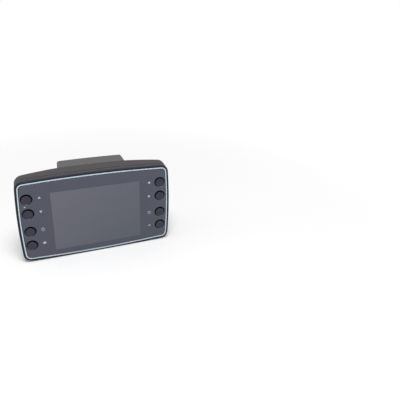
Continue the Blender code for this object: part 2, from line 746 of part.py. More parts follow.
def usb_port():
    """A board-mounted receptacle: oval shell, socket and contact tongue."""
    place = (PORT_X, FACE_CENTRE + PORT_Z)
    front = BOARD_BACK + CLEARANCE
    back = flap_depths()[0] - 2 * CLEARANCE - PORT_WIDTH / 2 * math.tan(PORT_LEAN)
    socket_floor = back - PORT_SOCKET_DEPTH
    radius = PORT_WIDTH / 2 - CLEARANCE / 2
    outline = rounded_rectangle(PORT_WIDTH, PORT_HEIGHT, radius, 4)
    shell = flat_solid("usb_port", outline, front, back, centre=place)
    inner_width = PORT_WIDTH - 2 * PORT_WALL
    inner = rounded_rectangle(inner_width, PORT_HEIGHT - 2 * PORT_WALL, radius - PORT_WALL, 4)
    cut(shell, flat_solid("usb_socket", inner, socket_floor, back + CUT_OVERRUN, centre=place))
    tongue = rounded_rectangle(PORT_TONGUE_WIDTH, PORT_TONGUE_HEIGHT, PORT_TONGUE_WIDTH / 4, 1)
    tongue_end = back - PORT_WIDTH / 4
    join(shell, flat_solid("usb_tongue", tongue, socket_floor - PORT_WALL, tongue_end, centre=place))
    return shell


def port_cover():
    """The rubber flap over the port, hung on a vertical hinge at its outer edge."""
    front, back = flap_depths()
    place = (PORT_X, FACE_CENTRE + PORT_Z)
    outline = rounded_rectangle(FLAP_WIDTH, FLAP_HEIGHT, FLAP_CORNER)
    flap = lean(flat_solid("port_cover", outline, front, back, centre=place))
    grip = rounded_rectangle(FLAP_GRIP_WIDTH, FLAP_GRIP_HEIGHT, FLAP_GRIP_WIDTH / 3)
    grip_x = PORT_X - FLAP_WIDTH / 2 + FLAP_GRIP_MARGIN + FLAP_GRIP_WIDTH / 2
    root = (front + back) / 2
    bar = flat_solid("flap_grip", grip, root, back + FLAP_GRIP_PROUD, centre=(grip_x, place[1]))
    join(flap, lean(bar))
    hinge = bpy.data.objects.new("port_cover_hinge", None)
    reach = FLAP_WIDTH / 2
    hinge.location.x = PORT_X + reach * math.cos(PORT_LEAN)
    hinge.location.y = at(back) - reach * math.sin(PORT_LEAN)
    hinge.location.z = place[1]
    parts.objects.link(hinge)
    flap.parent = hinge
    flap.matrix_parent_inverse = Matrix.Translation(hinge.location).inverted()
    return flap


def housing_seal():
    inner = face_outline(TONGUE_INSET + SEAL_WIDTH)
    front = TONGUE_END + CLEARANCE
    return flat_solid("housing_seal", face_outline(TONGUE_INSET), front, front + SEAL_THICKNESS, [inner])


def rear_cover(base):
    """The drafted shell behind the housing, with screw bosses, insert bosses and the antenna's shelf."""
    cover = cover_form("rear_cover", 0.0, COVER_SEAT, COVER_DEPTH, fillet=("back", COVER_FILLET, 3))
    inside_back = COVER_DEPTH - COVER_WALL
    root = inside_back + COVER_WALL / 2
    cut(cover, cover_form("cover_cavity", COVER_WALL, COVER_SEAT - CUT_OVERRUN, inside_back))
    inserts = four(MOUNT_PITCH_X / 2, MOUNT_PITCH_Z / 2)
    insert_floor = COVER_DEPTH - INSERT_SINK - INSERT_LENGTH - CLEARANCE
    boss_end = COVER_SEAT + COVER_BOSS_LENGTH
    pilot_end = SEAT_FACE - SEAT_THICKNESS - CLEARANCE + COVER_SCREW_LENGTH + CLEARANCE
    shelf_low = (-SHELF_WIDTH / 2, COVER_SEAT + COVER_WALL / 2, SHELF_TOP - SHELF_THICKNESS)
    join(
        cover,
        pins("cover_bosses", cover_screw_places(), COVER_BOSS / 2, COVER_SEAT, boss_end),
        pins("insert_bosses", inserts, INSERT_BOSS / 2, insert_floor - COVER_WALL / 2, root),
        block("antenna_shelf", shelf_low, (SHELF_WIDTH / 2, root, SHELF_TOP)),
    )
    bore = INSERT_DIAMETER / 2 + CLEARANCE
    pilot_start = COVER_SEAT - CUT_OVERRUN
    cut(
        cover,
        pins("cover_pilots", cover_screw_places(), SCREW_BORE / 2, pilot_start, pilot_end, SMALL_STEPS),
        pins("insert_bores", inserts, bore, insert_floor, COVER_DEPTH + CUT_OVERRUN, HOLE_STEPS),
        base,
    )
    return cover


def screw(name, place, bearing, length, facing):
    """A pan-head screw whose head bears on the plane at this depth."""
    head = SCREW_HEAD / 2
    socket = SCREW_SOCKET / 2
    profile = [
        (0.0, SCREW_HEAD_DEPTH - SCREW_SOCKET_DEPTH),
        (socket, SCREW_HEAD_DEPTH - SCREW_SOCKET_DEPTH),
        (socket, SCREW_HEAD_DEPTH),
        (head - SCREW_HEAD_DEPTH / 4, SCREW_HEAD_DEPTH),
        (head, SCREW_HEAD_DEPTH * 0.75),
        (head, 0.0),
        (SCREW_SHANK / 2, 0.0),
        (SCREW_SHANK / 2, -length + SCREW_SHANK / 3),
        (SCREW_SHANK / 6, -length),
        (0.0, -length),
    ]
    return turned(name, profile, (place[0], at(bearing), place[1]), SMALL_STEPS, facing)


def mount_insert(name, place):
    """A brass threaded insert, sunk just below the rear cover's back face."""
    outer = INSERT_DIAMETER / 2
    bore = INSERT_BORE / 2
    profile = [
        (bore + INSERT_CHAMFER, 0.0),
        (outer, 0.0),
        (outer, -INSERT_LENGTH),
        (bore, -INSERT_LENGTH),
        (bore, -INSERT_CHAMFER),
    ]
    location = (place[0], at(COVER_DEPTH - INSERT_SINK), place[1])
    return turned(name, profile, location, HOLE_STEPS, "back", closed=True)


def antenna_places():
    """Front and back depth of the antenna board, which ends just short of the cover's back wall."""
    back = COVER_DEPTH - COVER_WALL - 2 * CLEARANCE
    return back - ANTENNA_BOARD_LENGTH, back


def antenna_board():
    front, back = antenna_places()
    low = SHELF_TOP + CLEARANCE
    half = ANTENNA_BOARD_WIDTH / 2
    return block("antenna_board", (-half, front, low), (half, back, low + ANTENNA_BOARD_THICKNESS))


def antenna_patch():
    """The square ceramic antenna, lying flat so that it faces the sky."""
    front, back = antenna_places()
    middle = (front + back) / 2
    low = SHELF_TOP + 2 * CLEARANCE + ANTENNA_BOARD_THICKNESS
    half = PATCH_WIDTH / 2
    patch = block("antenna_patch", (-half, middle - half, low), (half, middle + half, low + PATCH_THICKNESS))
    bevel = patch.modifiers.new("chipped_edges", "BEVEL")
    bevel.width = CLEARANCE
    return patch


def battery_depths():
    back = COVER_DEPTH - COVER_WALL - PAD_THICKNESS - 2 * CLEARANCE
    return back - BATTERY_THICKNESS, back


def battery():
    front, back = battery_depths()
    outline = rounded_rectangle(BATTERY_WIDTH, BATTERY_HEIGHT, BATTERY_CORNER)
    return flat_solid("battery", outline, front, back, fillet=("front", BATTERY_CORNER / 2, 2))


def battery_pad():
    front = battery_depths()[1] + CLEARANCE
    width = BATTERY_WIDTH - 2 * PAD_BORDER
    outline = rounded_rectangle(width, BATTERY_HEIGHT - 2 * PAD_BORDER, LEAST_CORNER, 1)
    return flat_solid("battery_pad", outline, front, front + PAD_THICKNESS)


def build():
    black = finish("satin_black_moulding", (0.030, 0.031, 0.034), 0.45)
    grey = finish("charcoal_moulding", (0.085, 0.080, 0.084), 0.55)
    cover_grey = finish("grey_moulding", (0.150, 0.150, 0.152), 0.55)
    smoked = finish("smoked_panel", (0.085, 0.088, 0.115), 0.12)
    cyan = finish("pale_cyan_trim", (0.40, 0.52, 0.60), 0.35)
    rubber = finish("black_rubber", (0.028, 0.028, 0.032), 0.75)
    glass = finish("display_glass", (0.12, 0.12, 0.14), 0.10)
    laminate = finish("green_laminate", (0.010, 0.075, 0.035), 0.50)
    steel = finish("bright_steel", (0.55, 0.55, 0.56), 0.30, 1.0)
    brass = finish("brass", (0.62, 0.44, 0.18), 0.32, 1.0)
    foil = finish("battery_foil", (0.30, 0.32, 0.34), 0.40, 0.6)
    ceramic = finish("pale_ceramic", (0.55, 0.50, 0.42), 0.60)
    foam = finish("grey_foam", (0.10, 0.10, 0.10), 0.95)

    reach = FACE_WIDTH
    base = block("base_plane", (-reach, -reach, -reach), (reach, reach, 0.0))
    add_part(front_bezel(base), black)
    add_part(trim_ring(), cyan)
    add_part(front_panel(), smoked)
    add_part(rear_housing(base), grey)
    add_part(rear_cover(base), cover_grey)
    add_part(housing_seal(), rubber)
    for name, place in key_places():
        add_part(button(name, place), rubber)
        add_part(tact_switch(name, place), steel)
    for side in ("left", "right"):
        add_part(keypad_mat(side), rubber)
    add_part(display_gasket(), foam)
    add_part(display_module(), glass)
    add_part(main_board(), laminate)
    add_part(shield_can(), steel)
    add_part(buzzer(), black)
    add_part(usb_port(), steel)
    add_part(port_cover(), rubber)
    add_part(battery(), foil)
    add_part(battery_pad(), foam)
    add_part(antenna_board(), laminate)
    add_part(antenna_patch(), ceramic)
    cover_bearing = SEAT_FACE - SEAT_THICKNESS - CLEARANCE
    for index, place in enumerate(four(HOUSING_SCREW_X, HOUSING_SCREW_Z), start=1):
        name = f"housing_screw_{index}"
        add_part(screw(name, place, HOUSING_SCREW_BEARING, HOUSING_SCREW_LENGTH, "back"), steel)
    for index, place in enumerate(cover_screw_places(), start=1):
        name = f"cover_screw_{index}"
        add_part(screw(name, place, cover_bearing, COVER_SCREW_LENGTH, "front"), steel)
    for index, place in enumerate(four(MOUNT_PITCH_X / 2, MOUNT_PITCH_Z / 2), start=1):
        add_part(mount_insert(f"mount_insert_{index}", place), brass)


for leftover in list(bpy.data.objects):
    bpy.data.objects.remove(leftover)
bpy.context.scene.collection.children.link(parts)
bpy.context.scene.collection.children.link(cutters)
build()
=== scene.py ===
# %% [markdown]
# # A lap timer display for the dashboard
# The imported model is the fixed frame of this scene: it is in metres, stands on z = 0, and shows its
# face towards -Y. Every new piece is modelled round it and rides on one of its bodies.

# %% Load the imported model
import json
import math

import bmesh
import bpy
from mathutils import Matrix, Vector
from mathutils.geometry import intersect_sphere_sphere_2d


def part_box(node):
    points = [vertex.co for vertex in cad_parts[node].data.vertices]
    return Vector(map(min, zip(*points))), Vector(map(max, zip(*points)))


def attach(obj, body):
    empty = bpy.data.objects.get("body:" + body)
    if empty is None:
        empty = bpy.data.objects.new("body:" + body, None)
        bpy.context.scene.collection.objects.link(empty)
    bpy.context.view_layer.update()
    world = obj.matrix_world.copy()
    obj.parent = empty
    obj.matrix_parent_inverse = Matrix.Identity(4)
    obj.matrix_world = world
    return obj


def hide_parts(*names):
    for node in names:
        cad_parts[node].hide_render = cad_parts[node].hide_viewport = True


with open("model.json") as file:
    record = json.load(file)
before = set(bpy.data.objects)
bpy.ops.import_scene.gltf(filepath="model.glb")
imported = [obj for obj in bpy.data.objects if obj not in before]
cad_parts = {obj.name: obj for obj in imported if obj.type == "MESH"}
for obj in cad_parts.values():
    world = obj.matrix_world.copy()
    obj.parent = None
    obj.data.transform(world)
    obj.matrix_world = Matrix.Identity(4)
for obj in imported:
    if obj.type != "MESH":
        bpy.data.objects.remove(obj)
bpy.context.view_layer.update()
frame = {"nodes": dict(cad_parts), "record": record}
bpy.ops.object.select_all(action="DESELECT")
MM = 0.001

# %% [markdown]
# ## Measures from the frame
# Depths are counted backwards from the front face of the panel, because that face is what the eye
# reads first. Widths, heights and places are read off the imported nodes, so that a new pack with other
# sizes carries the looks with it. Only radii and fillets, which a box can't tell, are written here.

# %% Measure the frame
panel_low, panel_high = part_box("front_panel")
ring_low, ring_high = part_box("trim_ring")
bezel_low, bezel_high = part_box("front_bezel")
FACE_Y = panel_low.y
FACE_CENTRE = (ring_low.z + ring_high.z) / 2
HALF_WIDTH = bezel_high.x
HALF_HEIGHT = bezel_high.z - FACE_CENTRE
CROWN_RADIUS = 980 * MM
FLANK_RADIUS = 470 * MM
CORNER_RADIUS = 6.0 * MM
LEAST_CORNER = 0.6 * MM
GAP = 0.3 * MM


def at(depth):
    """Y of a plane that lies this far behind the panel's face."""
    return FACE_Y + depth


def depth_of(y):
    """How far a plane at this Y lies behind the panel's face."""
    return y - FACE_Y


def middle(node):
    low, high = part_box(node)
    return (low + high) / 2


def place_of(node):
    """Where the middle of a node lies on the face, as (x, z)."""
    centre = middle(node)
    return (centre.x, centre.z)


def face_size(node):
    """Width and height of a node, seen from the front."""
    low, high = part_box(node)
    return (high.x - low.x, high.z - low.z)


def grown(size, margin):
    """A width and a height with a margin added on every side."""
    return [side + 2 * margin for side in size]


print("face in mm:", round(2 * HALF_WIDTH / MM, 2), "by", round(2 * HALF_HEIGHT / MM, 2))

# %% [markdown]
# ## Camera
# The unit was photographed from above and from its left. A pinhole camera fitted to the corners of
# the screen, the keys and the edges of the housing gives the place, the angles, the focal length and
# the shift of the frame. The angles are turned into three axes here, because that leaves no doubt
# about the order of the turns.

# %% Camera at the photograph's angle
IMAGE_SIZE = 400
SENSOR = 36.0
FOCAL_PIXELS = 454.1
CAMERA_PLACE = Vector((-42.52, -349.45, 233.49)) * MM
SHIFT = (-0.0443, -0.0912)
NEAR_CLIP = 10 * MM
YAW = math.radians(23.92)
PITCH = math.radians(24.36)
ROLL = math.radians(3.25)

forward = Vector((math.sin(YAW) * math.cos(PITCH), math.cos(YAW) * math.cos(PITCH), -math.sin(PITCH)))
level_right = forward.cross(Vector((0, 0, 1))).normalized()
level_up = level_right.cross(forward)
right = level_right * math.cos(ROLL) + level_up * math.sin(ROLL)
up = right.cross(forward)
axes = Matrix((right, up, -forward)).transposed().to_4x4()
bpy.ops.object.camera_add()
camera = bpy.context.object
camera.matrix_world = Matrix.Translation(CAMERA_PLACE) @ axes
camera.data.sensor_width = SENSOR
camera.data.lens = FOCAL_PIXELS / IMAGE_SIZE * SENSOR
camera.data.shift_x, camera.data.shift_y = SHIFT
camera.data.clip_start = NEAR_CLIP
bpy.context.scene.camera = camera
print("camera looks along", [round(axis, 3) for axis in forward])

# %% [markdown]
# ## Shader maths
# A finish is a node tree. One small class wraps a node's output and turns + - * / into Math nodes, so
# that a mask reads as a formula. Every other node comes from one method, which sets the node's own
# settings first and then its sockets. Finishes and sky share both.

# %% Wires
class Wire:
    """A node's output that takes part in sums."""

    def __init__(self, nodes, output):
        self.nodes = nodes
        self.output = output

    def maths(self, operation, *values, clamp=False):
        settings = {"operation": operation, "use_clamp": clamp}
        return self.nodes.node("ShaderNodeMath", settings, dict(enumerate(values)))

    def __add__(self, other):
        return self.maths("ADD", self, other)

    def __sub__(self, other):
        return self.maths("SUBTRACT", self, other)

    def __rsub__(self, other):
        return self.maths("SUBTRACT", other, self)

    def __mul__(self, other):
        return self.maths("MULTIPLY", self, other)

    def __truediv__(self, other):
        return self.maths("DIVIDE", self, other)

    __radd__ = __add__
    __rmul__ = __mul__

    def __abs__(self):
        return self.maths("ABSOLUTE", self)

    def root(self):
        return self.maths("SQRT", self)

    def fraction(self):
        return self.maths("FRACT", self)

    def larger(self, other):
        return self.maths("MAXIMUM", self, other)

    def ramp(self, start, end):
        """0 up to start, 1 from end on, and straight between them."""
        return self.maths("MULTIPLY", self - start, 1 / (end - start), clamp=True)

    def within(self, half, fade):
        """1 as far as half on either side of zero, and fading to 0 beyond that."""
        return abs(self).ramp(half + fade, half)


print("wires ready")

# %% Node trees
class NodeTree:
    """The nodes of a material or a sky, added by type."""

    def __init__(self, owner, shader):
        owner.use_nodes = True
        self.tree = owner.node_tree
        self.shader = self.tree.nodes[shader]

    def node(self, kind, settings=None, sockets=None, output=0):
        made = self.tree.nodes.new(kind)
        for name, value in (settings or {}).items():
            setattr(made, name, value)
        self.feed(made, sockets or {})
        return Wire(self, made.outputs[output])

    def feed(self, made, sockets):
        for name, value in sockets.items():
            if isinstance(value, Wire):
                self.tree.links.new(value.output, made.inputs[name])
            else:
                made.inputs[name].default_value = value

    def set(self, **sockets):
        """Feeds the main shader, whose socket names are written with _ for a space."""
        self.feed(self.shader, {name.replace("_", " "): value for name, value in sockets.items()})

    def ray(self, kind):
        """1 for one kind of ray, such as Is Camera Ray, and 0 for the others."""
        return self.node("ShaderNodeLightPath", output=kind)


print("node trees ready")

# %% Finishes
class Finish(NodeTree):
    """A material that takes its pattern from the place on the object."""

    def __init__(self, name):
        self.material = bpy.data.materials.new(name)
        super().__init__(self.material, "Principled BSDF")

    def place(self):
        return self.node("ShaderNodeTexCoord", output="Object")

    def axes(self):
        split = self.node("ShaderNodeSeparateXYZ", sockets={0: self.place()}).output.node
        return [Wire(self, output) for output in split.outputs]

    def noise(self, size, detail=2.0, stretch=(1, 1, 1)):
        """Noise whose blotches are about this long, drawn out along the axes by stretch."""
        scale = [1 / (size * factor) for factor in stretch]
        spread = {"Vector": self.place(), "Scale": scale}
        where = self.node("ShaderNodeMapping", {"vector_type": "POINT"}, spread)
        sockets = {"Vector": where, "Scale": 1.0, "Detail": detail}
        return self.node("ShaderNodeTexNoise", None, sockets, "Fac")

    def mix(self, mask, low, high):
        """A colour that is low where the mask is 0 and high where it is 1."""
        pair = [colour if isinstance(colour, Wire) else (*colour, 1.0) for colour in (low, high)]
        sockets = {0: mask, 6: pair[0], 7: pair[1]}
        return self.node("ShaderNodeMix", {"data_type": "RGBA"}, sockets, 2)

    def bump(self, height, depth, strength):
        sockets = {"Height": height, "Distance": depth, "Strength": strength}
        self.set(Normal=self.node("ShaderNodeBump", None, sockets))


print("finishes ready")

# %% [markdown]
# ## Floor and sky
# The unit stands on a pale sweep that runs out to pure white. The floor keeps the soft shadow near the
# base, and further out a camera ray sees plain white, so that no horizon shows. The sky is white for
# camera and mirror rays and weaker for the light that falls on the object.

# %% Sweep
SWEEP_SIZE = 14.0
SWEEP_DROP = 0.02 * MM
SHADOW_REACH = (0.10, 0.30)
FIBRE_SIZE = 1.2 * MM
PAPER_TONES = ((0.94, 0.94, 0.94), (0.96, 0.96, 0.96))
WHITE = (1, 1, 1, 1)
bpy.ops.mesh.primitive_plane_add(size=SWEEP_SIZE, location=(0, 0, -SWEEP_DROP))
sweep = bpy.context.object
sweep.name = "sweep"

paper = Finish("white_paper_sweep")
fibres = paper.mix(paper.noise(FIBRE_SIZE), *PAPER_TONES)
paper.set(Base_Color=fibres, Roughness=0.9, Specular_IOR_Level=0.0)
east, north, _ = paper.axes()
away = (east * east + north * north).root()
far = away.ramp(*SHADOW_REACH) * paper.ray("Is Camera Ray")
matt = Wire(paper, paper.shader.outputs[0])
glow = paper.node("ShaderNodeEmission", None, {"Color": WHITE, "Strength": 1.0})
blend = paper.node("ShaderNodeMixShader", None, {0: far, 1: matt, 2: glow})
paper.feed(paper.tree.nodes["Material Output"], {"Surface": blend})
sweep.data.materials.append(paper.material)
print("sweep of", SWEEP_SIZE, "m")

# %% Sky
SKY_LIGHT = 0.40
world = bpy.data.worlds.new("white_studio")
bpy.context.scene.world = world
sky = NodeTree(world, "Background")
mirrored = sky.ray("Is Glossy Ray").larger(sky.ray("Is Transmission Ray"))
seen_white = sky.ray("Is Camera Ray").larger(mirrored)
sky.set(Color=WHITE, Strength=SKY_LIGHT + seen_white * (1 - SKY_LIGHT))
bpy.context.scene.view_settings.view_transform = "Standard"
print("sky light", SKY_LIGHT)

# %% [markdown]
# ## Lamps
# Two round softboxes light the unit, as in a small product studio. The one overhead and in front
# shapes the top and the keys, and a weaker one on the left lifts that side. A sun lamp would be
# simpler, but its shadows are hard, and a wide disk gives soft ones without corners.

# %% Lamps
def softbox(name, place, size, power):
    """A round lamp that is aimed at the middle of the face."""
    bpy.ops.object.light_add(type="AREA", location=place)
    lamp = bpy.context.object
    lamp.name = name
    lamp.data.shape = "DISK"
    lamp.data.size = size
    lamp.data.energy = power
    aim = Vector((0, 0, FACE_CENTRE)) - Vector(place)
    lamp.rotation_euler = aim.to_track_quat("-Z", "Y").to_euler()
    print(name, "of", power, "W")


softbox("overhead_softbox", place=(0.0, -0.40, 1.00), size=0.5, power=8.0)
softbox("side_softbox", place=(-0.90, 0.10, 0.60), size=0.7, power=1.5)

# %% [markdown]
# ## The face's outline
# Seen from the front, the unit is four shallow arcs with round corners. A subdivided rectangle could
# be pushed into that shape, but its corners would never be true arcs. Here one point is swung through
# three arcs like a pair of compasses, each centre lying where the arcs run into each other without a
# kink, and the quarter is mirrored twice. A parallel outline keeps the centres and takes the inset off
# every radius, so panel, ring and bezel stay evenly spaced all round.

# %% Draw a bowed outline
FLANK_STEPS = 6
CORNER_STEPS = 10
CROWN_STEPS = 14
EPS = 0.002 * MM


def heading(vector):
    return math.atan2(vector.y, vector.x)


def lone_point(place):
    """A single selected point, made by merging a small plane, with its object open for editing."""
    bpy.ops.mesh.primitive_plane_add(size=MM, location=place)
    bpy.ops.object.mode_set(mode="EDIT")
    bpy.ops.mesh.select_mode(type="VERT")
    bpy.ops.mesh.merge(type="CENTER")
    return bpy.context.object


def swing(centre, angle, steps, depth):
    """Turns the last point about a centre in the face's plane and leaves an arc behind it."""
    pivot = (centre.x, at(depth), FACE_CENTRE + centre.y)
    bpy.ops.mesh.spin(steps=steps, angle=angle, center=pivot, axis=(0, 1, 0))


def bowed_loop(half_width, half_height, crown, flank, corner, depth):
    """A closed wire of four shallow arcs and four round corners at one depth, left open for editing."""
    crown_centre = Vector((0, half_height - crown))
    flank_centre = Vector((half_width - flank, 0))
    meetings = intersect_sphere_sphere_2d(crown_centre, crown - corner, flank_centre, flank - corner)
    corner_centre = max(meetings, key=sum)
    flank_end = heading(corner_centre - flank_centre)
    crown_start = heading(corner_centre - crown_centre)
    wire = lone_point((0, at(depth), FACE_CENTRE))
    bpy.ops.transform.translate(value=(half_width, 0, 0))
    swing(flank_centre, flank_end, FLANK_STEPS, depth)
    swing(corner_centre, crown_start - flank_end, CORNER_STEPS, depth)
    swing(crown_centre, math.pi / 2 - crown_start, CROWN_STEPS, depth)
    bpy.ops.object.mode_set(mode="OBJECT")
    mirror = wire.modifiers.new("mirror", "MIRROR")
    mirror.use_axis = (True, False, True)
    mirror.merge_threshold = EPS
    bpy.ops.object.modifier_apply(modifier=mirror.name)
    bpy.ops.object.transform_apply()
    bpy.ops.object.mode_set(mode="EDIT")
    bpy.ops.mesh.select_all(action="SELECT")
    return wire


print("outline of", 4 * (FLANK_STEPS + CORNER_STEPS + CROWN_STEPS), "points")

# %% Turn the outline into blocks
def face_loop(inset, depth):
    """The face's outline, drawn in evenly by an inset."""
    corner = max(CORNER_RADIUS - inset, LEAST_CORNER)
    size = (HALF_WIDTH - inset, HALF_HEIGHT - inset)
    return bowed_loop(*size, CROWN_RADIUS - inset, FLANK_RADIUS - inset, corner, depth)


def push(distance):
    """Extrudes what is selected along the depth axis."""
    bpy.ops.mesh.extrude_region_move(TRANSFORM_OT_translate={"value": (0, distance, 0)})


def turn_outwards():
    """Points all faces of the open mesh outwards."""
    bpy.ops.mesh.select_all(action="SELECT")
    bpy.ops.mesh.normals_make_consistent(inside=False)


def face_block(inset, front, back):
    """A closed block on the face's outline, left open for editing."""
    block = face_loop(inset, front)
    bpy.ops.mesh.edge_face_add()
    push(back - front)
    turn_outwards()
    return block


print("block helpers ready")

# %% [markdown]
# ## Bench tools
# The pieces are made as at a bench: edges are picked and rounded, bars are cut away or joined on. Faces
# and edges are picked by their place, because their numbers change with every operation. Holes are
# Booleans with the manifold solver, which is quick and leaves a closed mesh closed. It also leaves long
# thin triangles that a bevel can't follow, so a hole's edge is broken by a cutter that widens instead.

# %% Pick, round, open and close
SHARP_ANGLE = math.radians(50)


def select(kind, test):
    """Selects the points, edges or faces of the open mesh that pass a test, and no others."""
    bpy.ops.mesh.select_mode(type=kind)
    bpy.ops.mesh.select_all(action="DESELECT")
    mesh = bpy.context.object.data
    edited = bmesh.from_edit_mesh(mesh)
    for part in {"VERT": edited.verts, "EDGE": edited.edges, "FACE": edited.faces}[kind]:
        if test(part):
            part.select_set(True)
    bmesh.update_edit_mesh(mesh)


def lies_at(depth):
    return lambda part: all(abs(vertex.co.y - at(depth)) < EPS for vertex in part.verts)


def sharp_at(depth):
    """Edges in one plane where two faces meet at an angle."""
    flat = lies_at(depth)
    return lambda edge: flat(edge) and edge.calc_face_angle(0.0) > SHARP_ANGLE


def round_edges(test, radius, segments):
    select("EDGE", test)
    bpy.ops.mesh.bevel(offset=radius, segments=segments, affect="EDGES", clamp_overlap=False)


def activate(piece):
    bpy.ops.object.select_all(action="DESELECT")
    piece.select_set(True)
    bpy.context.view_layer.objects.active = piece


def open_mesh(piece):
    activate(piece)
    bpy.ops.object.mode_set(mode="EDIT")


def close_mesh():
    bpy.ops.object.mode_set(mode="OBJECT")
    return bpy.context.object


print("picking helpers ready")

# %% Cut and join
def combine(target, tools, operation):
    """Cuts or joins with each tool in turn and throws the tool away."""
    for tool in tools:
        activate(target)
        modifier = target.modifiers.new("combine", "BOOLEAN")
        modifier.operation = operation
        modifier.solver = "MANIFOLD"
        modifier.object = tool
        bpy.ops.object.modifier_apply(modifier=modifier.name)
        bpy.data.objects.remove(tool)


def cut(target, *tools):
    combine(target, tools, "DIFFERENCE")


def join(target, *tools):
    combine(target, tools, "UNION")


print("cut and join ready")

# %% Bars
BOX_SEGMENTS = 6
OVAL_SHARE = 0.48


def rod(place, radius, front, back, sides=48):
    """A round bar along the depth axis at an (x, z) place."""
    bpy.ops.mesh.primitive_cylinder_add(
        vertices=sides,
        radius=radius,
        depth=back - front,
        location=(place[0], at((front + back) / 2), place[1]),
        rotation=(math.pi / 2, 0, 0),
    )
    bpy.ops.object.transform_apply()
    return bpy.context.object


def rods(places, *sizes):
    return [rod(place, *sizes) for place in places]


def runs_deep(edge):
    """Edges along the depth axis."""
    return abs(edge.verts[0].co.y - edge.verts[1].co.y) > EPS


def rounded_box(width, height, corner, front, back, place):
    """A box whose four edges along the depth axis are rounded."""
    bpy.ops.mesh.primitive_cube_add(size=1, location=(place[0], at((front + back) / 2), place[1]))
    bpy.ops.transform.resize(value=(width, back - front, height))
    bpy.ops.object.transform_apply()
    bpy.ops.object.mode_set(mode="EDIT")
    round_edges(runs_deep, corner, BOX_SEGMENTS)
    return close_mesh()


def oval_bar(size, front, back, place):
    """A box whose narrow ends are rounded almost to half circles."""
    return rounded_box(*size, OVAL_SHARE * size[0], front, back, place)


print("bars ready")

# %% Cutters that widen
OVERRUN = 2.0 * MM
EDGE_BREAK = 0.2 * MM


def own_box(piece):
    """Lowest and highest corner of a piece's mesh."""
    corners = [Vector(corner) for corner in piece.bound_box]
    return corners[0], corners[6]


def flare(tool, stop, size, way=1):
    """Spreads a cutter that stops just below a surface, so that it breaks the edge of its hole.

    way is 1 for a hole that opens at the back and -1 for one that opens at the front.
    """
    open_mesh(tool)
    low, high = own_box(tool)
    reach = 2 * size
    spread = [(side + 2 * reach) / side for side in high - low]
    select("FACE", lies_at(stop))
    push(reach * way)
    bpy.ops.transform.resize(value=(spread[0], 1, spread[2]), center_override=(low + high) / 2)
    push(OVERRUN * way)
    return close_mesh()


print("cutters break edges by", EDGE_BREAK / MM, "mm")

# %% Finish off a piece
SMOOTH_ANGLE = math.radians(35)
MERGE_SPAN = EPS / 10
BISECT_SPAN = EPS / 100


def stand_on_base(piece):
    """Trims a piece flat at the plane that the unit stands on."""
    open_mesh(piece)
    bpy.ops.mesh.select_all(action="SELECT")
    base = {"plane_co": (0, 0, 0), "plane_no": (0, 0, 1), "threshold": BISECT_SPAN}
    bpy.ops.mesh.bisect(**base, use_fill=True, clear_inner=True)
    return close_mesh()


def hand_over(piece, name, body, slot, *nodes):
    """Cleans and smooths a finished piece, hangs it on its body and lets it stand for its CAD nodes."""
    open_mesh(piece)
    bpy.ops.mesh.select_all(action="SELECT")
    bpy.ops.mesh.remove_doubles(threshold=MERGE_SPAN)
    close_mesh()
    piece.name = name
    bpy.ops.object.shade_smooth_by_angle(angle=SMOOTH_ANGLE)
    even = piece.modifiers.new("even_shading", "WEIGHTED_NORMAL")
    even.keep_sharp = True
    bpy.ops.object.modifier_apply(modifier=even.name)
    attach(piece, body)
    if nodes:
        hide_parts(*nodes)
    print(name, "has", len(piece.data.polygons), "faces")
    return piece


print("hand-over ready")

# %% [markdown]
# ## Front bezel
# The bezel is a black moulded frame. Its outer lip is rounded over, a pocket in its front takes ring
# and panel, and a tongue behind slides into the housing. It is modelled like a turned piece: one block
# on the outline, then insets and extrusions step by step, and at last the openings behind the panel.

# %% Bezel block
RIM_WIDTH = 1.25 * MM
RIM_FILLET = 0.6 * MM
PARTING_FILLET = 0.2 * MM
WEB_THICKNESS = 2.0 * MM
TONGUE_INSET = 1.7 * MM
TONGUE_WALL = 1.2 * MM
RIM_FRONT = depth_of(bezel_low.y)
TONGUE_END = depth_of(bezel_high.y)
HOUSING_FRONT = depth_of(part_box("rear_housing")[0].y)
BEZEL_BACK = HOUSING_FRONT - GAP
PANEL_BACK = depth_of(panel_high.y)
WEB_FRONT = PANEL_BACK + GAP
WEB_BACK = WEB_FRONT + WEB_THICKNESS

bezel = face_block(0, RIM_FRONT, BEZEL_BACK)
round_edges(lies_at(RIM_FRONT), RIM_FILLET, segments=6)
round_edges(lies_at(BEZEL_BACK), PARTING_FILLET, segments=2)
select("FACE", lies_at(RIM_FRONT))
bpy.ops.mesh.inset(thickness=RIM_WIDTH - RIM_FILLET)
push(WEB_FRONT - RIM_FRONT)
select("FACE", lies_at(BEZEL_BACK))
bpy.ops.mesh.inset(thickness=TONGUE_INSET - PARTING_FILLET)
push(TONGUE_END - BEZEL_BACK)
bpy.ops.mesh.inset(thickness=TONGUE_WALL)
push(WEB_BACK - TONGUE_END)
close_mesh()
print("bezel block of", len(bezel.data.polygons), "faces")

# %% Bezel openings
KEYS = [f"{side}_{row}" for side in ("left", "right") for row in range(1, 5)]
key_places = [place_of("button_" + key) for key in KEYS]
FLANGE_RADIUS = face_size("button_left_1")[0] / 2
screen_centre = middle("display_module").z
display_size = grown(face_size("display_module"), GAP)
cut(
    bezel,
    rounded_box(*display_size, LEAST_CORNER, 0, TONGUE_END, (0, screen_centre)),
    *rods(key_places, FLANGE_RADIUS + GAP, 0, TONGUE_END),
)
stand_on_base(bezel)
hand_over(bezel, "bezel_frame", "unit", "satin_black_moulding", "front_bezel")

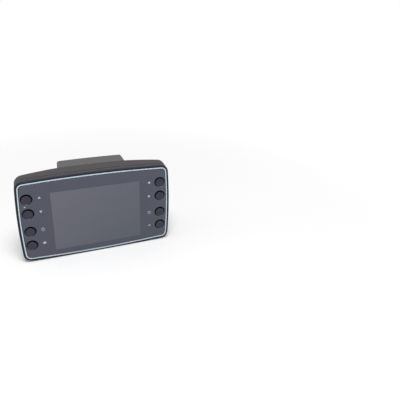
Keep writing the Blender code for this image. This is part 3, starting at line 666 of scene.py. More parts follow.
# %% [markdown]
# ## Trim ring
# A pale cyan strip runs all round the panel. It is about 1 mm wide and lies nearly flush, and its top
# is rounded, so that some part of it always catches a highlight. The ring starts as a flat face on the
# outline whose middle is inset and removed, and the band that is left gets its thickness by extrusion.

# %% Ring
RING_CROWN = 0.25 * MM
RING_GAP = 0.40 * MM
RING_PLAY = 0.10 * MM
RING_SINK = 0.25 * MM
RING_FRONT = depth_of(ring_low.y) + RING_SINK
RING_BACK = depth_of(ring_high.y)
RING_INSET = HALF_WIDTH - ring_high.x + RING_PLAY
PANEL_INSET = HALF_WIDTH - panel_high.x

ring = face_loop(RING_INSET, RING_BACK)
bpy.ops.mesh.edge_face_add()
bpy.ops.mesh.inset(thickness=PANEL_INSET - RING_GAP - RING_INSET)
bpy.ops.mesh.delete(type="FACE")
bpy.ops.mesh.select_all(action="SELECT")
push(RING_FRONT - RING_BACK)
turn_outwards()
round_edges(sharp_at(RING_FRONT), RING_CROWN, segments=4)
close_mesh()
hand_over(ring, "bright_trim_ring", "unit", "pale_cyan_trim", "trim_ring")

# %% [markdown]
# ## Front panel
# The face is one glossy smoked sheet with eight key holes, and the screen shows through it. Its edge is
# broken by a fine polished bevel, and the drills that cut the holes widen at the front to do the same
# there, because it is that bright hairline that tells a real sheet from a flat picture.

# %% Panel
KEY_RADIUS = 4.25 * MM
EDGE_POLISH = 0.15 * MM
HOLE_POLISH = 0.08 * MM
DRILL_SIDES = 72
panel = face_block(PANEL_INSET, 0, PANEL_BACK)
round_edges(lies_at(0), EDGE_POLISH, segments=3)
close_mesh()
for drill in rods(key_places, KEY_RADIUS + GAP, HOLE_POLISH, PANEL_BACK + OVERRUN, DRILL_SIDES):
    cut(panel, flare(drill, HOLE_POLISH, HOLE_POLISH, way=-1))
hand_over(panel, "smoked_front_panel", "unit", "smoked_panel", "front_panel")

# %% [markdown]
# ## Keys
# Each key is a moulded rubber cap with a flange behind that keeps it in. Its round finger pad is dished
# and stands off centre, down and a little outwards, which leaves a deep crescent over it, painted near
# black in the rubber's finish as shade. A squashed sphere would be quicker, but has no crisp rim. Here
# both half sections are drawn point by point and spun once round. Cap and pad are copied to each place
# and joined there, and each key rides on its own sliding body.

# %% Draw and spin a half section
TURN_STEPS = 64


def start_profile(radius, depth):
    """A lone point beside the axis of turning, in the plane x, y."""
    lone_point((0, 0, 0))
    bpy.ops.transform.translate(value=(radius, depth, 0))


def draw_to(*points):
    """Extrudes the last point of the profile to each (radius, depth) in turn."""
    for radius, depth in points:
        edited = bmesh.from_edit_mesh(bpy.context.object.data)
        last = next(vertex for vertex in edited.verts if vertex.select)
        step = Vector((radius, depth, 0)) - last.co
        bpy.ops.mesh.extrude_vertices_move(TRANSFORM_OT_translate={"value": step})


def draw_arc(radius, depth, angle, way, steps):
    """Swings the last point about a centre at (radius, depth), with way 1 or -1 as its sense."""
    bpy.ops.mesh.spin(steps=steps, angle=angle, center=(radius, depth, 0), axis=(0, 0, way))


def dome_radius(half_width, rise):
    """Radius of a sphere that rises this much over a circle of this half width."""
    return (half_width**2 + rise**2) / (2 * rise)


def turn_profile(steps=TURN_STEPS):
    """Spins the profile once round the depth axis and closes seam and poles."""
    bpy.ops.mesh.select_all(action="SELECT")
    bpy.ops.mesh.spin(steps=steps, angle=2 * math.pi, center=(0, 0, 0), axis=(0, 1, 0))
    bpy.ops.mesh.select_all(action="SELECT")
    bpy.ops.mesh.remove_doubles(threshold=EPS)
    bpy.ops.mesh.normals_make_consistent(inside=False)
    return close_mesh()


def copy_to(piece, place):
    """A copy with its own mesh, moved from the axis to a place on the unit."""
    activate(piece)
    bpy.ops.object.duplicate(linked=False)
    bpy.ops.transform.translate(value=place)
    bpy.ops.object.transform_apply()
    return bpy.context.object


print("turning helpers ready")

# %% Cap and pad
KEY_STEP = 2.0 * MM
FLANGE_FRONT = PANEL_BACK + GAP
FLANGE_THICKNESS = 0.8 * MM
FLANGE_BACK = FLANGE_FRONT + FLANGE_THICKNESS
STEM_RADIUS = 2.0 * MM
KEY_END = depth_of(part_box("button_left_1")[1].y)
PAD_FRONT = -0.1 * MM
PAD_RADIUS = 3.70 * MM
PAD_DISH = 0.25 * MM
PAD_RIM = 0.7 * MM
PAD_EDGE = 0.4 * MM
start_profile(0, KEY_STEP)
draw_to(
    (KEY_RADIUS, KEY_STEP),
    (KEY_RADIUS, FLANGE_FRONT),
    (FLANGE_RADIUS, FLANGE_FRONT),
    (FLANGE_RADIUS, FLANGE_BACK),
    (STEM_RADIUS, FLANGE_BACK),
    (STEM_RADIUS, KEY_END),
    (0, KEY_END),
)
cap_pattern = turn_profile()

dish_radius = PAD_RADIUS - PAD_RIM
dish_floor = PAD_FRONT + PAD_DISH
bowl = dome_radius(dish_radius, PAD_DISH)
edge_start = PAD_RADIUS - PAD_EDGE
pad_end = (FLANGE_FRONT + FLANGE_BACK) / 2
start_profile(0, dish_floor)
draw_arc(0, dish_floor - bowl, math.asin(dish_radius / bowl), way=1, steps=8)
draw_to((edge_start, PAD_FRONT))
draw_arc(edge_start, PAD_FRONT + PAD_EDGE, math.pi / 2, way=-1, steps=6)
draw_to((PAD_RADIUS, pad_end), (0, pad_end))
pad_pattern = turn_profile()
print("pad of", len(pad_pattern.data.polygons), "faces")

# %% Eight keys
PAD_SHIFT = (0.22 * MM, 0.72 * MM)
key_caps = []
for key, (x, z) in zip(KEYS, key_places):
    cap = copy_to(cap_pattern, (x, FACE_Y, z))
    outward = math.copysign(PAD_SHIFT[0], x)
    join(cap, copy_to(pad_pattern, (x + outward, FACE_Y, z - PAD_SHIFT[1])))
    key_caps.append(hand_over(cap, "key_cap_" + key, "key_" + key, "black_rubber", "button_" + key))
bpy.data.objects.remove(cap_pattern)
bpy.data.objects.remove(pad_pattern)

# %% [markdown]
# ## Rear housing
# The housing carries the face's outline straight back and closes it with a back that is curved in plan
# and rounded over. A flat back is bridged from top to bottom in upright strips, each strip's edge is
# moved forward by the drop of the curve at its x, and the rim is filleted. The same block, a wall
# smaller, is the hollow.

# %% Housing block with a curved back
HOUSING_DEPTH = 20.7 * MM
BACK_RADIUS = 303 * MM
BACK_FILLET = 3.0 * MM
WALL = 2.5 * MM
BACK_WALL = 2.0 * MM
MOST_WALL_TILT = 0.3
LEAST_BACK_TILT = 0.7
DECIMALS = 7


def back_drop(x):
    """How far the curved back has come forward at this x."""
    return x * x / (2 * BACK_RADIUS)


def crosses_rim(edge):
    """Edges where the back meets the outline's wall."""
    tilts = sorted(abs(face.normal.y) for face in edge.link_faces)
    meets = tilts[0] < MOST_WALL_TILT and tilts[-1] > LEAST_BACK_TILT
    return meets and edge.verts[0].co.y > at(HOUSING_FRONT + BACK_FILLET)


def in_columns(x, back):
    """Points of the flat back at this distance from the middle, on either side."""
    return lambda point: abs(point.co.y - at(back)) < EPS and abs(abs(point.co.x) - x) < MERGE_SPAN


def housing_block(inset, front, back, fillet, segments):
    """A closed block on the face's outline with a curved and rounded back."""
    block = face_block(inset, front, back)
    on_back = lies_at(back)
    select("FACE", on_back)
    bpy.ops.mesh.delete(type="ONLY_FACE")
    columns = {round(abs(point.co.x), DECIMALS) for point in bmesh.from_edit_mesh(block.data).verts}
    crown_end = HALF_WIDTH - max(CORNER_RADIUS, inset + LEAST_CORNER)
    select("EDGE", lambda edge: on_back(edge) and all(abs(point.co.x) < crown_end for point in edge.verts))
    bpy.ops.mesh.bridge_edge_loops()
    bpy.ops.mesh.select_all(action="SELECT")
    bpy.ops.mesh.fill_holes(sides=0)
    for x in sorted(columns):
        select("VERT", in_columns(x, back))
        bpy.ops.transform.translate(value=(0, -back_drop(x), 0))
    turn_outwards()
    round_edges(crosses_rim, fillet, segments)
    return close_mesh()


housing = housing_block(0, HOUSING_FRONT, HOUSING_DEPTH, BACK_FILLET, segments=8)
hollow_back = HOUSING_DEPTH - BACK_WALL
hollow = housing_block(WALL, HOUSING_FRONT - OVERRUN, hollow_back, BACK_FILLET - BACK_WALL, segments=3)
print("housing block of", len(housing.data.polygons), "faces")

# %% [markdown]
# ## The rear cover's block
# The rear cover seats in a saddle of the housing, so its block is needed twice: as the cover itself,
# and a gap larger as the cutter for the saddle. A cube with a tapered end would do for flat sides, but
# these bow like the face, so two outlines are lofted, the one at the back narrower.

# %% Cover block with drafted sides
COVER_BACK_WIDTH = 53.0 * MM
COVER_CORNER = 1.6 * MM
COVER_FLANK_RADIUS = 8000 * MM
cover_low, cover_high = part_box("rear_cover")
COVER_BASE_WIDTH = cover_high.x - cover_low.x
COVER_SEAT = depth_of(cover_low.y)
COVER_DEPTH = depth_of(cover_high.y)


def cover_half_width(depth):
    """Half the rear cover's width at a depth: the sides draw in towards the back."""
    share = (depth - COVER_SEAT) / (COVER_DEPTH - COVER_SEAT)
    return (COVER_BASE_WIDTH + share * (COVER_BACK_WIDTH - COVER_BASE_WIDTH)) / 2


def cover_loop(inset, depth):
    corner = max(COVER_CORNER - inset, LEAST_CORNER)
    size = (cover_half_width(depth) - inset, HALF_HEIGHT - inset)
    bowed_loop(*size, CROWN_RADIUS, COVER_FLANK_RADIUS, corner, depth)
    return close_mesh()


def cover_block(inset, front, back):
    """A closed block lofted from a loop at the front to a narrower one at the back."""
    wide = cover_loop(inset, front)
    block = cover_loop(inset, back)
    wide.select_set(True)
    bpy.ops.object.join()
    open_mesh(block)
    bpy.ops.mesh.select_all(action="SELECT")
    bpy.ops.mesh.bridge_edge_loops()
    bpy.ops.mesh.select_all(action="SELECT")
    bpy.ops.mesh.fill_holes(sides=0)
    turn_outwards()
    return close_mesh()


print("cover draws in by", round((COVER_BASE_WIDTH - COVER_BACK_WIDTH) / MM, 2), "mm")

# %% [markdown]
# ## Inside and openings of the housing
# The housing is hollowed, gets a lip for the bezel's tongue, and then what stands inside it: the block
# round the saddle, four screw bosses and a pad behind the port. The openings come last, so that each
# cutter passes through all that was joined before. What lies on the curved back is turned to lie along
# it, since an opening cut straight in would look sunk on one side and proud on the other.

# %% Lean a piece along the curved back
def surface(x):
    """Depth of the housing's curved back at this x."""
    return HOUSING_DEPTH - back_drop(x)


def lean(piece, place):
    """Turns a piece about the upright at an (x, z) place, so that it lies along the curved back."""
    activate(piece)
    pivot = (place[0], at(surface(place[0])), place[1])
    turn = math.atan(place[0] / BACK_RADIUS)
    bpy.ops.transform.rotate(value=turn, orient_axis="Z", center_override=pivot)
    bpy.ops.object.transform_apply()
    return piece


print("back is at", round(surface(0) / MM, 2), "mm in the middle")

# %% Hollow, lip, saddle block and bosses
LIP_WALL = 1.4 * MM
SEAL_THICKNESS = 0.6 * MM
LIP_END = TONGUE_END + SEAL_THICKNESS + 2 * GAP
SEAT_THICKNESS = 2.0 * MM
SADDLE_WALL = 1.8 * MM
BOSS_RADIUS = 3.6 * MM
FLAP_SIZE = (9.4 * MM, 15.4 * MM)
FLAP_THICKNESS = 1.7 * MM
FLAP_CORNER = 1.6 * MM
PORT_MARGIN = 2.0 * MM
port_place = place_of("usb_port")
screw_places = [place_of(f"housing_screw_{number}") for number in range(1, 5)]
FLAP_BACK = surface(port_place[0])
FLAP_FRONT = FLAP_BACK - FLAP_THICKNESS
face_place = (0, FACE_CENTRE)
seat_face = COVER_SEAT - GAP
saddle_size = (COVER_BASE_WIDTH + 2 * SADDLE_WALL, 2 * HALF_HEIGHT - 2 * WALL + BACK_WALL)
saddle_back = surface(COVER_BASE_WIDTH / 2 + SADDLE_WALL) - BACK_WALL / 2
boss_back = surface(screw_places[0][0]) - BACK_WALL / 2
board_back = depth_of(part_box("main_board")[1].y)
port_pad_size = grown(FLAP_SIZE, GAP + PORT_MARGIN)
port_pad_back = FLAP_BACK - BACK_WALL / 2

cut(housing, hollow)
lip = face_block(LIP_WALL, HOUSING_FRONT - OVERRUN, LIP_END)
close_mesh()
cut(housing, lip)
port_pad = rounded_box(*port_pad_size, FLAP_CORNER, FLAP_FRONT - PORT_MARGIN, port_pad_back, port_place)
join(
    housing,
    rounded_box(*saddle_size, COVER_CORNER, seat_face - SEAT_THICKNESS, saddle_back, face_place),
    *rods(screw_places, BOSS_RADIUS, board_back + GAP, boss_back),
    lean(port_pad, port_place),
)
print("housing with its bosses has", len(housing.data.polygons), "faces")

# %% Saddle, wells, slots and port
SEAT_WINDOW = (33.0 * MM, 46.0 * MM)
SCREW_BEARING = 14.0 * MM
HEAD_RADIUS = 2.5 * MM
SHANK_RADIUS = 1.2 * MM
SLOT_SIZE = (1.1 * MM, 9.0 * MM)
SLOT_PITCH = 2.4 * MM
SLOT_COUNT = 4


def well_mouth(place):
    """A short countersink that breaks the edge of a screw well on the curved back."""
    stop = surface(place[0]) - EDGE_BREAK
    return lean(flare(rod(place, HEAD_RADIUS + GAP, stop - OVERRUN, stop), stop, EDGE_BREAK), place)


def sound_slot(place):
    """A cutter for one slot over the buzzer, which breaks the slot's edge on the curved back."""
    stop = surface(place[0]) - EDGE_BREAK
    return lean(flare(oval_bar(SLOT_SIZE, SCREW_BEARING, stop, place), stop, EDGE_BREAK), place)


far_back = COVER_DEPTH + OVERRUN
pocket_size = grown(FLAP_SIZE, GAP)
pocket_stop = FLAP_BACK - EDGE_BREAK
pocket = rounded_box(*pocket_size, FLAP_CORNER + GAP, FLAP_FRONT - GAP, pocket_stop, port_place)
port_size = face_size("usb_port")
port_hole = grown(port_size, GAP)
buzzer_x, buzzer_z = place_of("buzzer")
slot_shifts = [(number - (SLOT_COUNT - 1) / 2) * SLOT_PITCH for number in range(SLOT_COUNT)]
cut(
    housing,
    cover_block(-GAP, seat_face, far_back),
    rounded_box(*SEAT_WINDOW, COVER_CORNER, seat_face - 2 * SEAT_THICKNESS, far_back, face_place),
    *rods(screw_places, SHANK_RADIUS + GAP, board_back - OVERRUN, far_back),
    *rods(screw_places, HEAD_RADIUS + GAP, SCREW_BEARING - GAP, far_back),
    *(well_mouth(place) for place in screw_places),
    lean(flare(pocket, pocket_stop, EDGE_BREAK), port_place),
    oval_bar(port_hole, FLAP_FRONT - PORT_MARGIN - OVERRUN, FLAP_BACK, port_place),
    *(sound_slot((buzzer_x + shift, buzzer_z)) for shift in slot_shifts),
)
stand_on_base(housing)
hand_over(housing, "rear_shell", "unit", "charcoal_moulding", "rear_housing")

# %% [markdown]
# ## Rear cover
# A block with drafted sides stands out behind the housing and takes the mount. Its back edge is rounded
# over and it is hollowed by the same block, a wall smaller. Its back is a plain grained face with four
# blind bores, each in a boss of its own, which hold the brass inserts.

# %% Cover
COVER_FILLET = 1.4 * MM
COVER_WALL = 2.0 * MM
INSERT_RADIUS = 3.0 * MM
INSERT_BOSS_RADIUS = 4.5 * MM
insert_places = [place_of(f"mount_insert_{number}") for number in range(1, 5)]
insert_low, insert_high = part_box("mount_insert_1")
insert_floor = depth_of(insert_low.y) - GAP
insert_stop = COVER_DEPTH - EDGE_BREAK
boss_front = insert_floor - COVER_WALL / 2
cover = cover_block(0, COVER_SEAT, COVER_DEPTH)
open_mesh(cover)
round_edges(lies_at(COVER_DEPTH), COVER_FILLET, segments=6)
close_mesh()
cut(cover, cover_block(COVER_WALL, COVER_SEAT - OVERRUN, COVER_DEPTH - COVER_WALL))
join(cover, *rods(insert_places, INSERT_BOSS_RADIUS, boss_front, COVER_DEPTH - COVER_WALL / 2))
for drill in rods(insert_places, INSERT_RADIUS + GAP, insert_floor, insert_stop):
    cut(cover, flare(drill, insert_stop, EDGE_BREAK))
stand_on_base(cover)
hand_over(cover, "mount_block", "unit", "grey_moulding", "rear_cover")

# %% [markdown]
# ## Port and flap
# Under a rubber flap on the back lies the data and charging port. The flap lies in a pocket along the
# curved back, has a grip bar at its free edge, a thin groove along its hinge so that it can bend, and
# a raised oval inside that seals the port. The port is an oval steel shell with a contact blade. Each
# is built upright from boxes and ovals, which is easy to check, and the flap is leaned over at the end.

# %% Flap
FLAP_FILLET = 0.3 * MM
GRIP_SIZE = (1.2 * MM, 8.0 * MM)
GRIP_CORNER = GRIP_SIZE[0] / 3
GRIP_FILLET = GRIP_SIZE[0] / 5
GRIP_PROUD = 0.5 * MM
GRIP_MARGIN = 0.8 * MM
GROOVE = 0.4 * MM
GROOVE_MARGIN = 1.3 * MM
SEAL_MARGIN = 0.9 * MM
SEAL_PROUD = 0.2 * MM
flap_x, flap_z = port_place
flap = rounded_box(*FLAP_SIZE, FLAP_CORNER, FLAP_FRONT, FLAP_BACK, port_place)
open_mesh(flap)
round_edges(lies_at(FLAP_BACK), FLAP_FILLET, segments=3)
close_mesh()
grip_place = (flap_x - FLAP_SIZE[0] / 2 + GRIP_MARGIN + GRIP_SIZE[0] / 2, flap_z)
grip_end = FLAP_BACK + GRIP_PROUD
grip = rounded_box(*GRIP_SIZE, GRIP_CORNER, FLAP_BACK - FLAP_THICKNESS / 2, grip_end, grip_place)
open_mesh(grip)
round_edges(lies_at(grip_end), GRIP_FILLET, segments=3)
close_mesh()
seal = oval_bar(grown(port_size, SEAL_MARGIN), FLAP_FRONT - SEAL_PROUD, FLAP_FRONT + GROOVE, port_place)
cut(seal, oval_bar(port_hole, FLAP_FRONT - OVERRUN, FLAP_FRONT, port_place))
join(flap, grip, seal)
groove_place = (flap_x + FLAP_SIZE[0] / 2 - GROOVE_MARGIN, flap_z)
groove_size = (GROOVE, 2 * FLAP_SIZE[1])
cut(flap, rounded_box(*groove_size, GROOVE / 3, FLAP_BACK - GROOVE, FLAP_BACK + OVERRUN, groove_place))
lean(flap, port_place)
hand_over(flap, "port_flap_rubber", "port_flap", "black_rubber", "port_cover")

# %% Receptacle
SHELL_WALL = 0.35 * MM
SHELL_FILLET = 0.1 * MM
SOCKET_DEPTH = 5.0 * MM
BLADE_SIZE = (0.7 * MM, 6.6 * MM)
BLADE_CORNER = BLADE_SIZE[0] / 4
port_low, port_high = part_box("usb_port")
port_back = depth_of(port_high.y)
socket_floor = port_back - SOCKET_DEPTH
blade_end = port_back - port_size[0] / 4
receptacle = oval_bar(port_size, depth_of(port_low.y), port_back, port_place)
cut(receptacle, oval_bar(grown(port_size, -SHELL_WALL), socket_floor, port_back + OVERRUN, port_place))
open_mesh(receptacle)
round_edges(sharp_at(port_back), SHELL_FILLET, segments=2)
close_mesh()
join(receptacle, rounded_box(*BLADE_SIZE, BLADE_CORNER, socket_floor - SHELL_WALL, blade_end, port_place))
hand_over(receptacle, "port_receptacle", "unit", "bright_steel", "usb_port")

# %% [markdown]
# ## Screws and inserts
# Four socket screws close the unit from behind, and four brass inserts take the mount. Both are turned
# pieces, so a half section is spun once round. The screw's socket is broached with a six-sided bar, and
# the insert's thread is a row of grooves, since at this size a true helix can't be told from rings.

# %% Screws
HEAD_DEPTH = 1.8 * MM
SCREW_LENGTH = 9.8 * MM
HEAD_FILLET = 0.6 * MM
SOCKET_SIDES = 6
SOCKET_RADIUS = 1.15 * MM
SOCKET_SINK = 1.0 * MM
POINT = 0.8 * MM
fillet_start = HEAD_RADIUS - HEAD_FILLET
start_profile(0, HEAD_DEPTH)
draw_to((fillet_start, HEAD_DEPTH))
draw_arc(fillet_start, HEAD_DEPTH - HEAD_FILLET, math.pi / 2, way=1, steps=5)
draw_to(
    (HEAD_RADIUS, 0),
    (SHANK_RADIUS, 0),
    (SHANK_RADIUS, POINT - SCREW_LENGTH),
    (SHANK_RADIUS - POINT, -SCREW_LENGTH),
    (0, -SCREW_LENGTH),
)
screw_pattern = turn_profile(steps=48)
bpy.ops.mesh.primitive_cylinder_add(
    vertices=SOCKET_SIDES,
    radius=SOCKET_RADIUS,
    depth=2 * SOCKET_SINK,
    location=(0, HEAD_DEPTH, 0),
    rotation=(math.pi / 2, 0, 0),
)
cut(screw_pattern, bpy.context.object)
screws = []
for number, (x, z) in enumerate(screw_places, start=1):
    screw = copy_to(screw_pattern, (x, at(SCREW_BEARING), z))
    hand_over(screw, f"socket_screw_{number}", "unit", "bright_steel", f"housing_screw_{number}")
    screws.append(screw)
bpy.data.objects.remove(screw_pattern)

# %% Inserts
BORE_RADIUS = 1.65 * MM
THREAD_DEPTH = 0.3 * MM
THREAD_PITCH = 0.7 * MM
LEAD_IN = 0.4 * MM
insert_length = insert_high.y - insert_low.y
thread_count = int((insert_length - 2 * LEAD_IN) / THREAD_PITCH)
start_profile(BORE_RADIUS + LEAD_IN, 0)
draw_to((BORE_RADIUS, -LEAD_IN))
for turn in range(thread_count):
    top = -LEAD_IN - turn * THREAD_PITCH
    draw_to((BORE_RADIUS + THREAD_DEPTH, top - THREAD_PITCH / 2), (BORE_RADIUS, top - THREAD_PITCH))
draw_to(
    (BORE_RADIUS, -insert_length),
    (INSERT_RADIUS, -insert_length),
    (INSERT_RADIUS, -EDGE_POLISH),
    (INSERT_RADIUS - EDGE_POLISH, 0),
    (BORE_RADIUS + LEAD_IN, 0),
)
insert_pattern = turn_profile(steps=48)
inserts = []
for number, (x, z) in enumerate(insert_places, start=1):
    insert = copy_to(insert_pattern, (x, insert_high.y, z))
    hand_over(insert, f"threaded_insert_{number}", "unit", "brass", f"mount_insert_{number}")
    inserts.append(insert)
bpy.data.objects.remove(insert_pattern)

# %% [markdown]
# ## Printed symbols
# A small white mark stands inboard of each key: plain generic shapes, printed in ink on the panel. A
# mask in the panel's finish could draw them, but ink has a thickness and an edge of its own, so each
# mark is a flat shape extruded by a few hundredths of a millimetre. Outlines are made by an inset whose
# middle is taken out. All marks become one printed object.

# %% Draw and print a mark
INK = 0.03 * MM
LINE = 0.32 * MM


def flat_mark(sides, radius, turn=0.0, outline=False, stretch=(1, 1)):
    """A flat shape with this many corners at the origin, filled or as an outline, open for editing."""
    upright = (math.pi / 2, 0, 0)
    bpy.ops.mesh.primitive_circle_add(vertices=sides, radius=radius, fill_type="NGON", rotation=upright)
    bpy.ops.object.transform_apply()
    bpy.ops.object.mode_set(mode="EDIT")
    bpy.ops.mesh.select_mode(type="FACE")
    bpy.ops.mesh.select_all(action="SELECT")
    bpy.ops.transform.rotate(value=turn, orient_axis="Y", center_override=(0, 0, 0))
    bpy.ops.transform.resize(value=(stretch[0], 1, stretch[1]), center_override=(0, 0, 0))
    if outline:
        bpy.ops.mesh.inset(thickness=LINE)
        bpy.ops.mesh.delete(type="FACE")
        bpy.ops.mesh.select_all(action="SELECT")


def print_mark(x, z):
    """Gives the open shape its film of ink and sets the middle of its box at a place on the panel."""
    push(-2 * INK)
    turn_outwards()
    mark = close_mesh()
    low, high = own_box(mark)
    bpy.ops.transform.translate(value=Vector((x, FACE_Y, z)) - (low + high) / 2)
    bpy.ops.object.transform_apply()
    return mark


print("ink film of", 2 * INK / MM, "mm")

# %% Symbols
MARK_INBOARD = 9.4 * MM
MARK_RISE = 0.5 * MM
SQUARE = math.pi / 4
MARKS = {
    "left_1": {"sides": 3, "radius": 1.35 * MM},
    "left_2": {"sides": 3, "radius": 1.40 * MM, "turn": math.pi},
    "left_3": {"sides": 6, "radius": 1.45 * MM, "outline": True, "stretch": (0.85, 1.15)},
    "left_4": {"sides": 8, "radius": 1.20 * MM, "turn": SQUARE / 2, "stretch": (1.05, 0.95)},
    "right_1": {"sides": 3, "radius": 1.50 * MM, "turn": math.pi / 2},
    "right_2": {"sides": 24, "radius": 0.95 * MM},
    "right_3": {"sides": 4, "radius": 1.60 * MM, "turn": SQUARE, "outline": True},
    "right_4": {"sides": 4, "radius": 1.50 * MM, "turn": SQUARE, "stretch": (1.0, 0.35)},
}
marks = []
for key, (x, z) in zip(KEYS, key_places):
    inboard = math.copysign(MARK_INBOARD, -x)
    flat_mark(**MARKS[key])
    marks.append(print_mark(x + inboard, z + MARK_RISE))
for mark in marks:
    mark.select_set(True)
bpy.context.view_layer.objects.active = marks[0]
bpy.ops.object.join()
symbols = hand_over(marks[0], "printed_symbols", "unit", "grey_foam")

# %% [markdown]
# ## Pale dot
# Between the two upper keys on the left sits a tiny pale grey dot. It is a shallow
# dome with a short foot in the panel. A sphere sunk into the panel would show the same dome, but most
# of its faces would be wasted below, so this too is an arc that is spun once round.

# %% Pale dot
DOT_RADIUS = 0.55 * MM
DOT_PROUD = 0.1 * MM
DOT_OUTBOARD = 1.8 * MM
dome = dome_radius(DOT_RADIUS, DOT_PROUD)
start_profile(0, -DOT_PROUD)
draw_arc(0, dome - DOT_PROUD, math.asin(DOT_RADIUS / dome), way=-1, steps=5)
draw_to((DOT_RADIUS, INK), (0, INK))
lens = turn_profile(steps=24)
(upper_x, upper_z), (_, lower_z) = key_places[:2]
bpy.ops.transform.translate(value=(upper_x - DOT_OUTBOARD, FACE_Y, (upper_z + lower_z) / 2))
bpy.ops.object.transform_apply()
# A pale grey dome in the panel, which shows as a bright dot between the upper left keys.
hand_over(lens, "pale_dot", "unit", "display_glass")

# %% [markdown]
# ## Moulded plastic
# Bezel, housing and cover are moulded in an eroded tool, which leaves a fine, even grain. At arm's
# length the grain only softens the highlight, and close up it shows as a bump of a few hundredths of
# a millimetre. A slow blotchiness in tone and gloss keeps large faces from looking painted. Round its
# front the bezel is painted a darker colour as shade, in a band that the depth behind the panel's face
# picks out.

# %% Moulded finishes
GRAIN_SIZE = 0.22 * MM
GRAIN_DEPTH = 0.02 * MM
NOISE_MIDDLE = 0.5
DRIFT_SIZE = 14 * MM
DRIFT_SHARE = 0.7
TONE_SPREAD = 0.08
TONE_RANGE = (0.3, 0.7)
DRIFT_ROUGHNESS = 0.12
GRAIN_ROUGHNESS = 0.08
LIP_DEPTH = 2.2 * MM
LIP_FADE = 0.15 * MM
# Painted shade: the bezel's front lip is coloured darker than its top and sides.
LIP_SHADE_COLOUR = (0.018, 0.023, 0.033)
BEZEL_COLOUR = (0.056, 0.049, 0.057)
HOUSING_COLOUR = (0.038, 0.032, 0.036)
COVER_COLOUR = (0.086, 0.086, 0.088)


def shade_of(colour, factor):
    return tuple(factor * part for part in colour)


def moulded(name, colour, roughness, specular, lip=None):
    """Grained plastic whose tone and gloss drift, with a darker colour painted round its front as shade if
    one is given.
    """
    made = Finish(name)
    grain = made.noise(GRAIN_SIZE, detail=3.0)
    drift = made.noise(DRIFT_SIZE, detail=3.0)
    tone = (drift * DRIFT_SHARE + grain * (1 - DRIFT_SHARE)).ramp(*TONE_RANGE)
    base = made.mix(tone, shade_of(colour, 1 - TONE_SPREAD), shade_of(colour, 1 + TONE_SPREAD))
    if lip:
        # Painted shade: in front of this depth the bezel takes the darker lip colour.
        _, y, _ = made.axes()
        base = made.mix(y.ramp(at(LIP_DEPTH), at(LIP_DEPTH + LIP_FADE)), lip, base)
    uneven = (drift - NOISE_MIDDLE) * DRIFT_ROUGHNESS + (grain - NOISE_MIDDLE) * GRAIN_ROUGHNESS
    made.set(Base_Color=base, Roughness=roughness + uneven, Specular_IOR_Level=specular)
    made.bump(grain, GRAIN_DEPTH, strength=0.35)
    print(name, "made")
    return made


bezel_finish = moulded("satin_black_plastic", BEZEL_COLOUR, roughness=0.50, specular=0.12, lip=LIP_SHADE_COLOUR)
housing_finish = moulded("charcoal_grained_plastic", HOUSING_COLOUR, roughness=0.55, specular=0.35)
cover_finish = moulded("grey_grained_plastic", COVER_COLOUR, roughness=0.55, specular=0.35)

# %% [markdown]
# ## The smoked panel and its screen
# The panel is polished acrylic, printed dark behind, with a clear window over the display. With the
# display off, the window is a shade lighter than the surround, and towards its upper left a painted
# sheen makes it a little lighter still. Both are one sheet, so one finish draws the window as a mask from
# the place on the sheet:
# inside on both axes means inside the window. Faint wipe marks live in the roughness alone.

# %% Panel finish
SCREEN_HALF = (35.05 * MM, 26.3 * MM)
WINDOW_EDGE = 0.15 * MM
SHEEN_RANGE = (-2.0 * SCREEN_HALF[0], 1.6 * SCREEN_HALF[0])
SURROUND_WARM = (0.058, 0.057, 0.089)
SURROUND_COOL = (0.053, 0.063, 0.091)
SURROUND_PATCH = 30 * MM
PATCH_RANGE = (0.35, 0.65)
# Painted sheen: the screen's colour runs from this tone to a lighter one towards its upper left.
SCREEN_LOW = (0.078, 0.087, 0.114)
SCREEN_SHEEN_TONE = (0.112, 0.113, 0.144)
WIPE_SIZE = 9 * MM
WIPE_STRETCH = (3.0, 1.0, 0.6)
WIPE_RANGE = (0.45, 0.8)
WIPE_ROUGHNESS = 0.08
CLEAN_ROUGHNESS = 0.06
panel_finish = Finish("smoked_acrylic")
x, _, z = panel_finish.axes()
from_centre = z - screen_centre
window = x.within(SCREEN_HALF[0], WINDOW_EDGE) * from_centre.within(SCREEN_HALF[1], WINDOW_EDGE)
# Painted sheen: the screen is coloured lighter towards its upper left.
screen = panel_finish.mix((from_centre - x).ramp(*SHEEN_RANGE), SCREEN_LOW, SCREEN_SHEEN_TONE)
patches = panel_finish.noise(SURROUND_PATCH).ramp(*PATCH_RANGE)
surround = panel_finish.mix(patches, SURROUND_WARM, SURROUND_COOL)
wipes = panel_finish.noise(WIPE_SIZE, detail=4.0, stretch=WIPE_STRETCH).ramp(*WIPE_RANGE)
panel_tone = panel_finish.mix(window, surround, screen)
panel_finish.set(Base_Color=panel_tone, Roughness=CLEAN_ROUGHNESS + wipes * WIPE_ROUGHNESS)
print("screen window centred at", round(screen_centre / MM, 2), "mm")

# %% [markdown]
# ## Ring
# The ring is a strip of pale cyan plastic, satin and a touch uneven, with a bump too fine to see that
# only breaks up its highlight. One flat colour would do from afar, but then the round crown would shine
# like enamel.

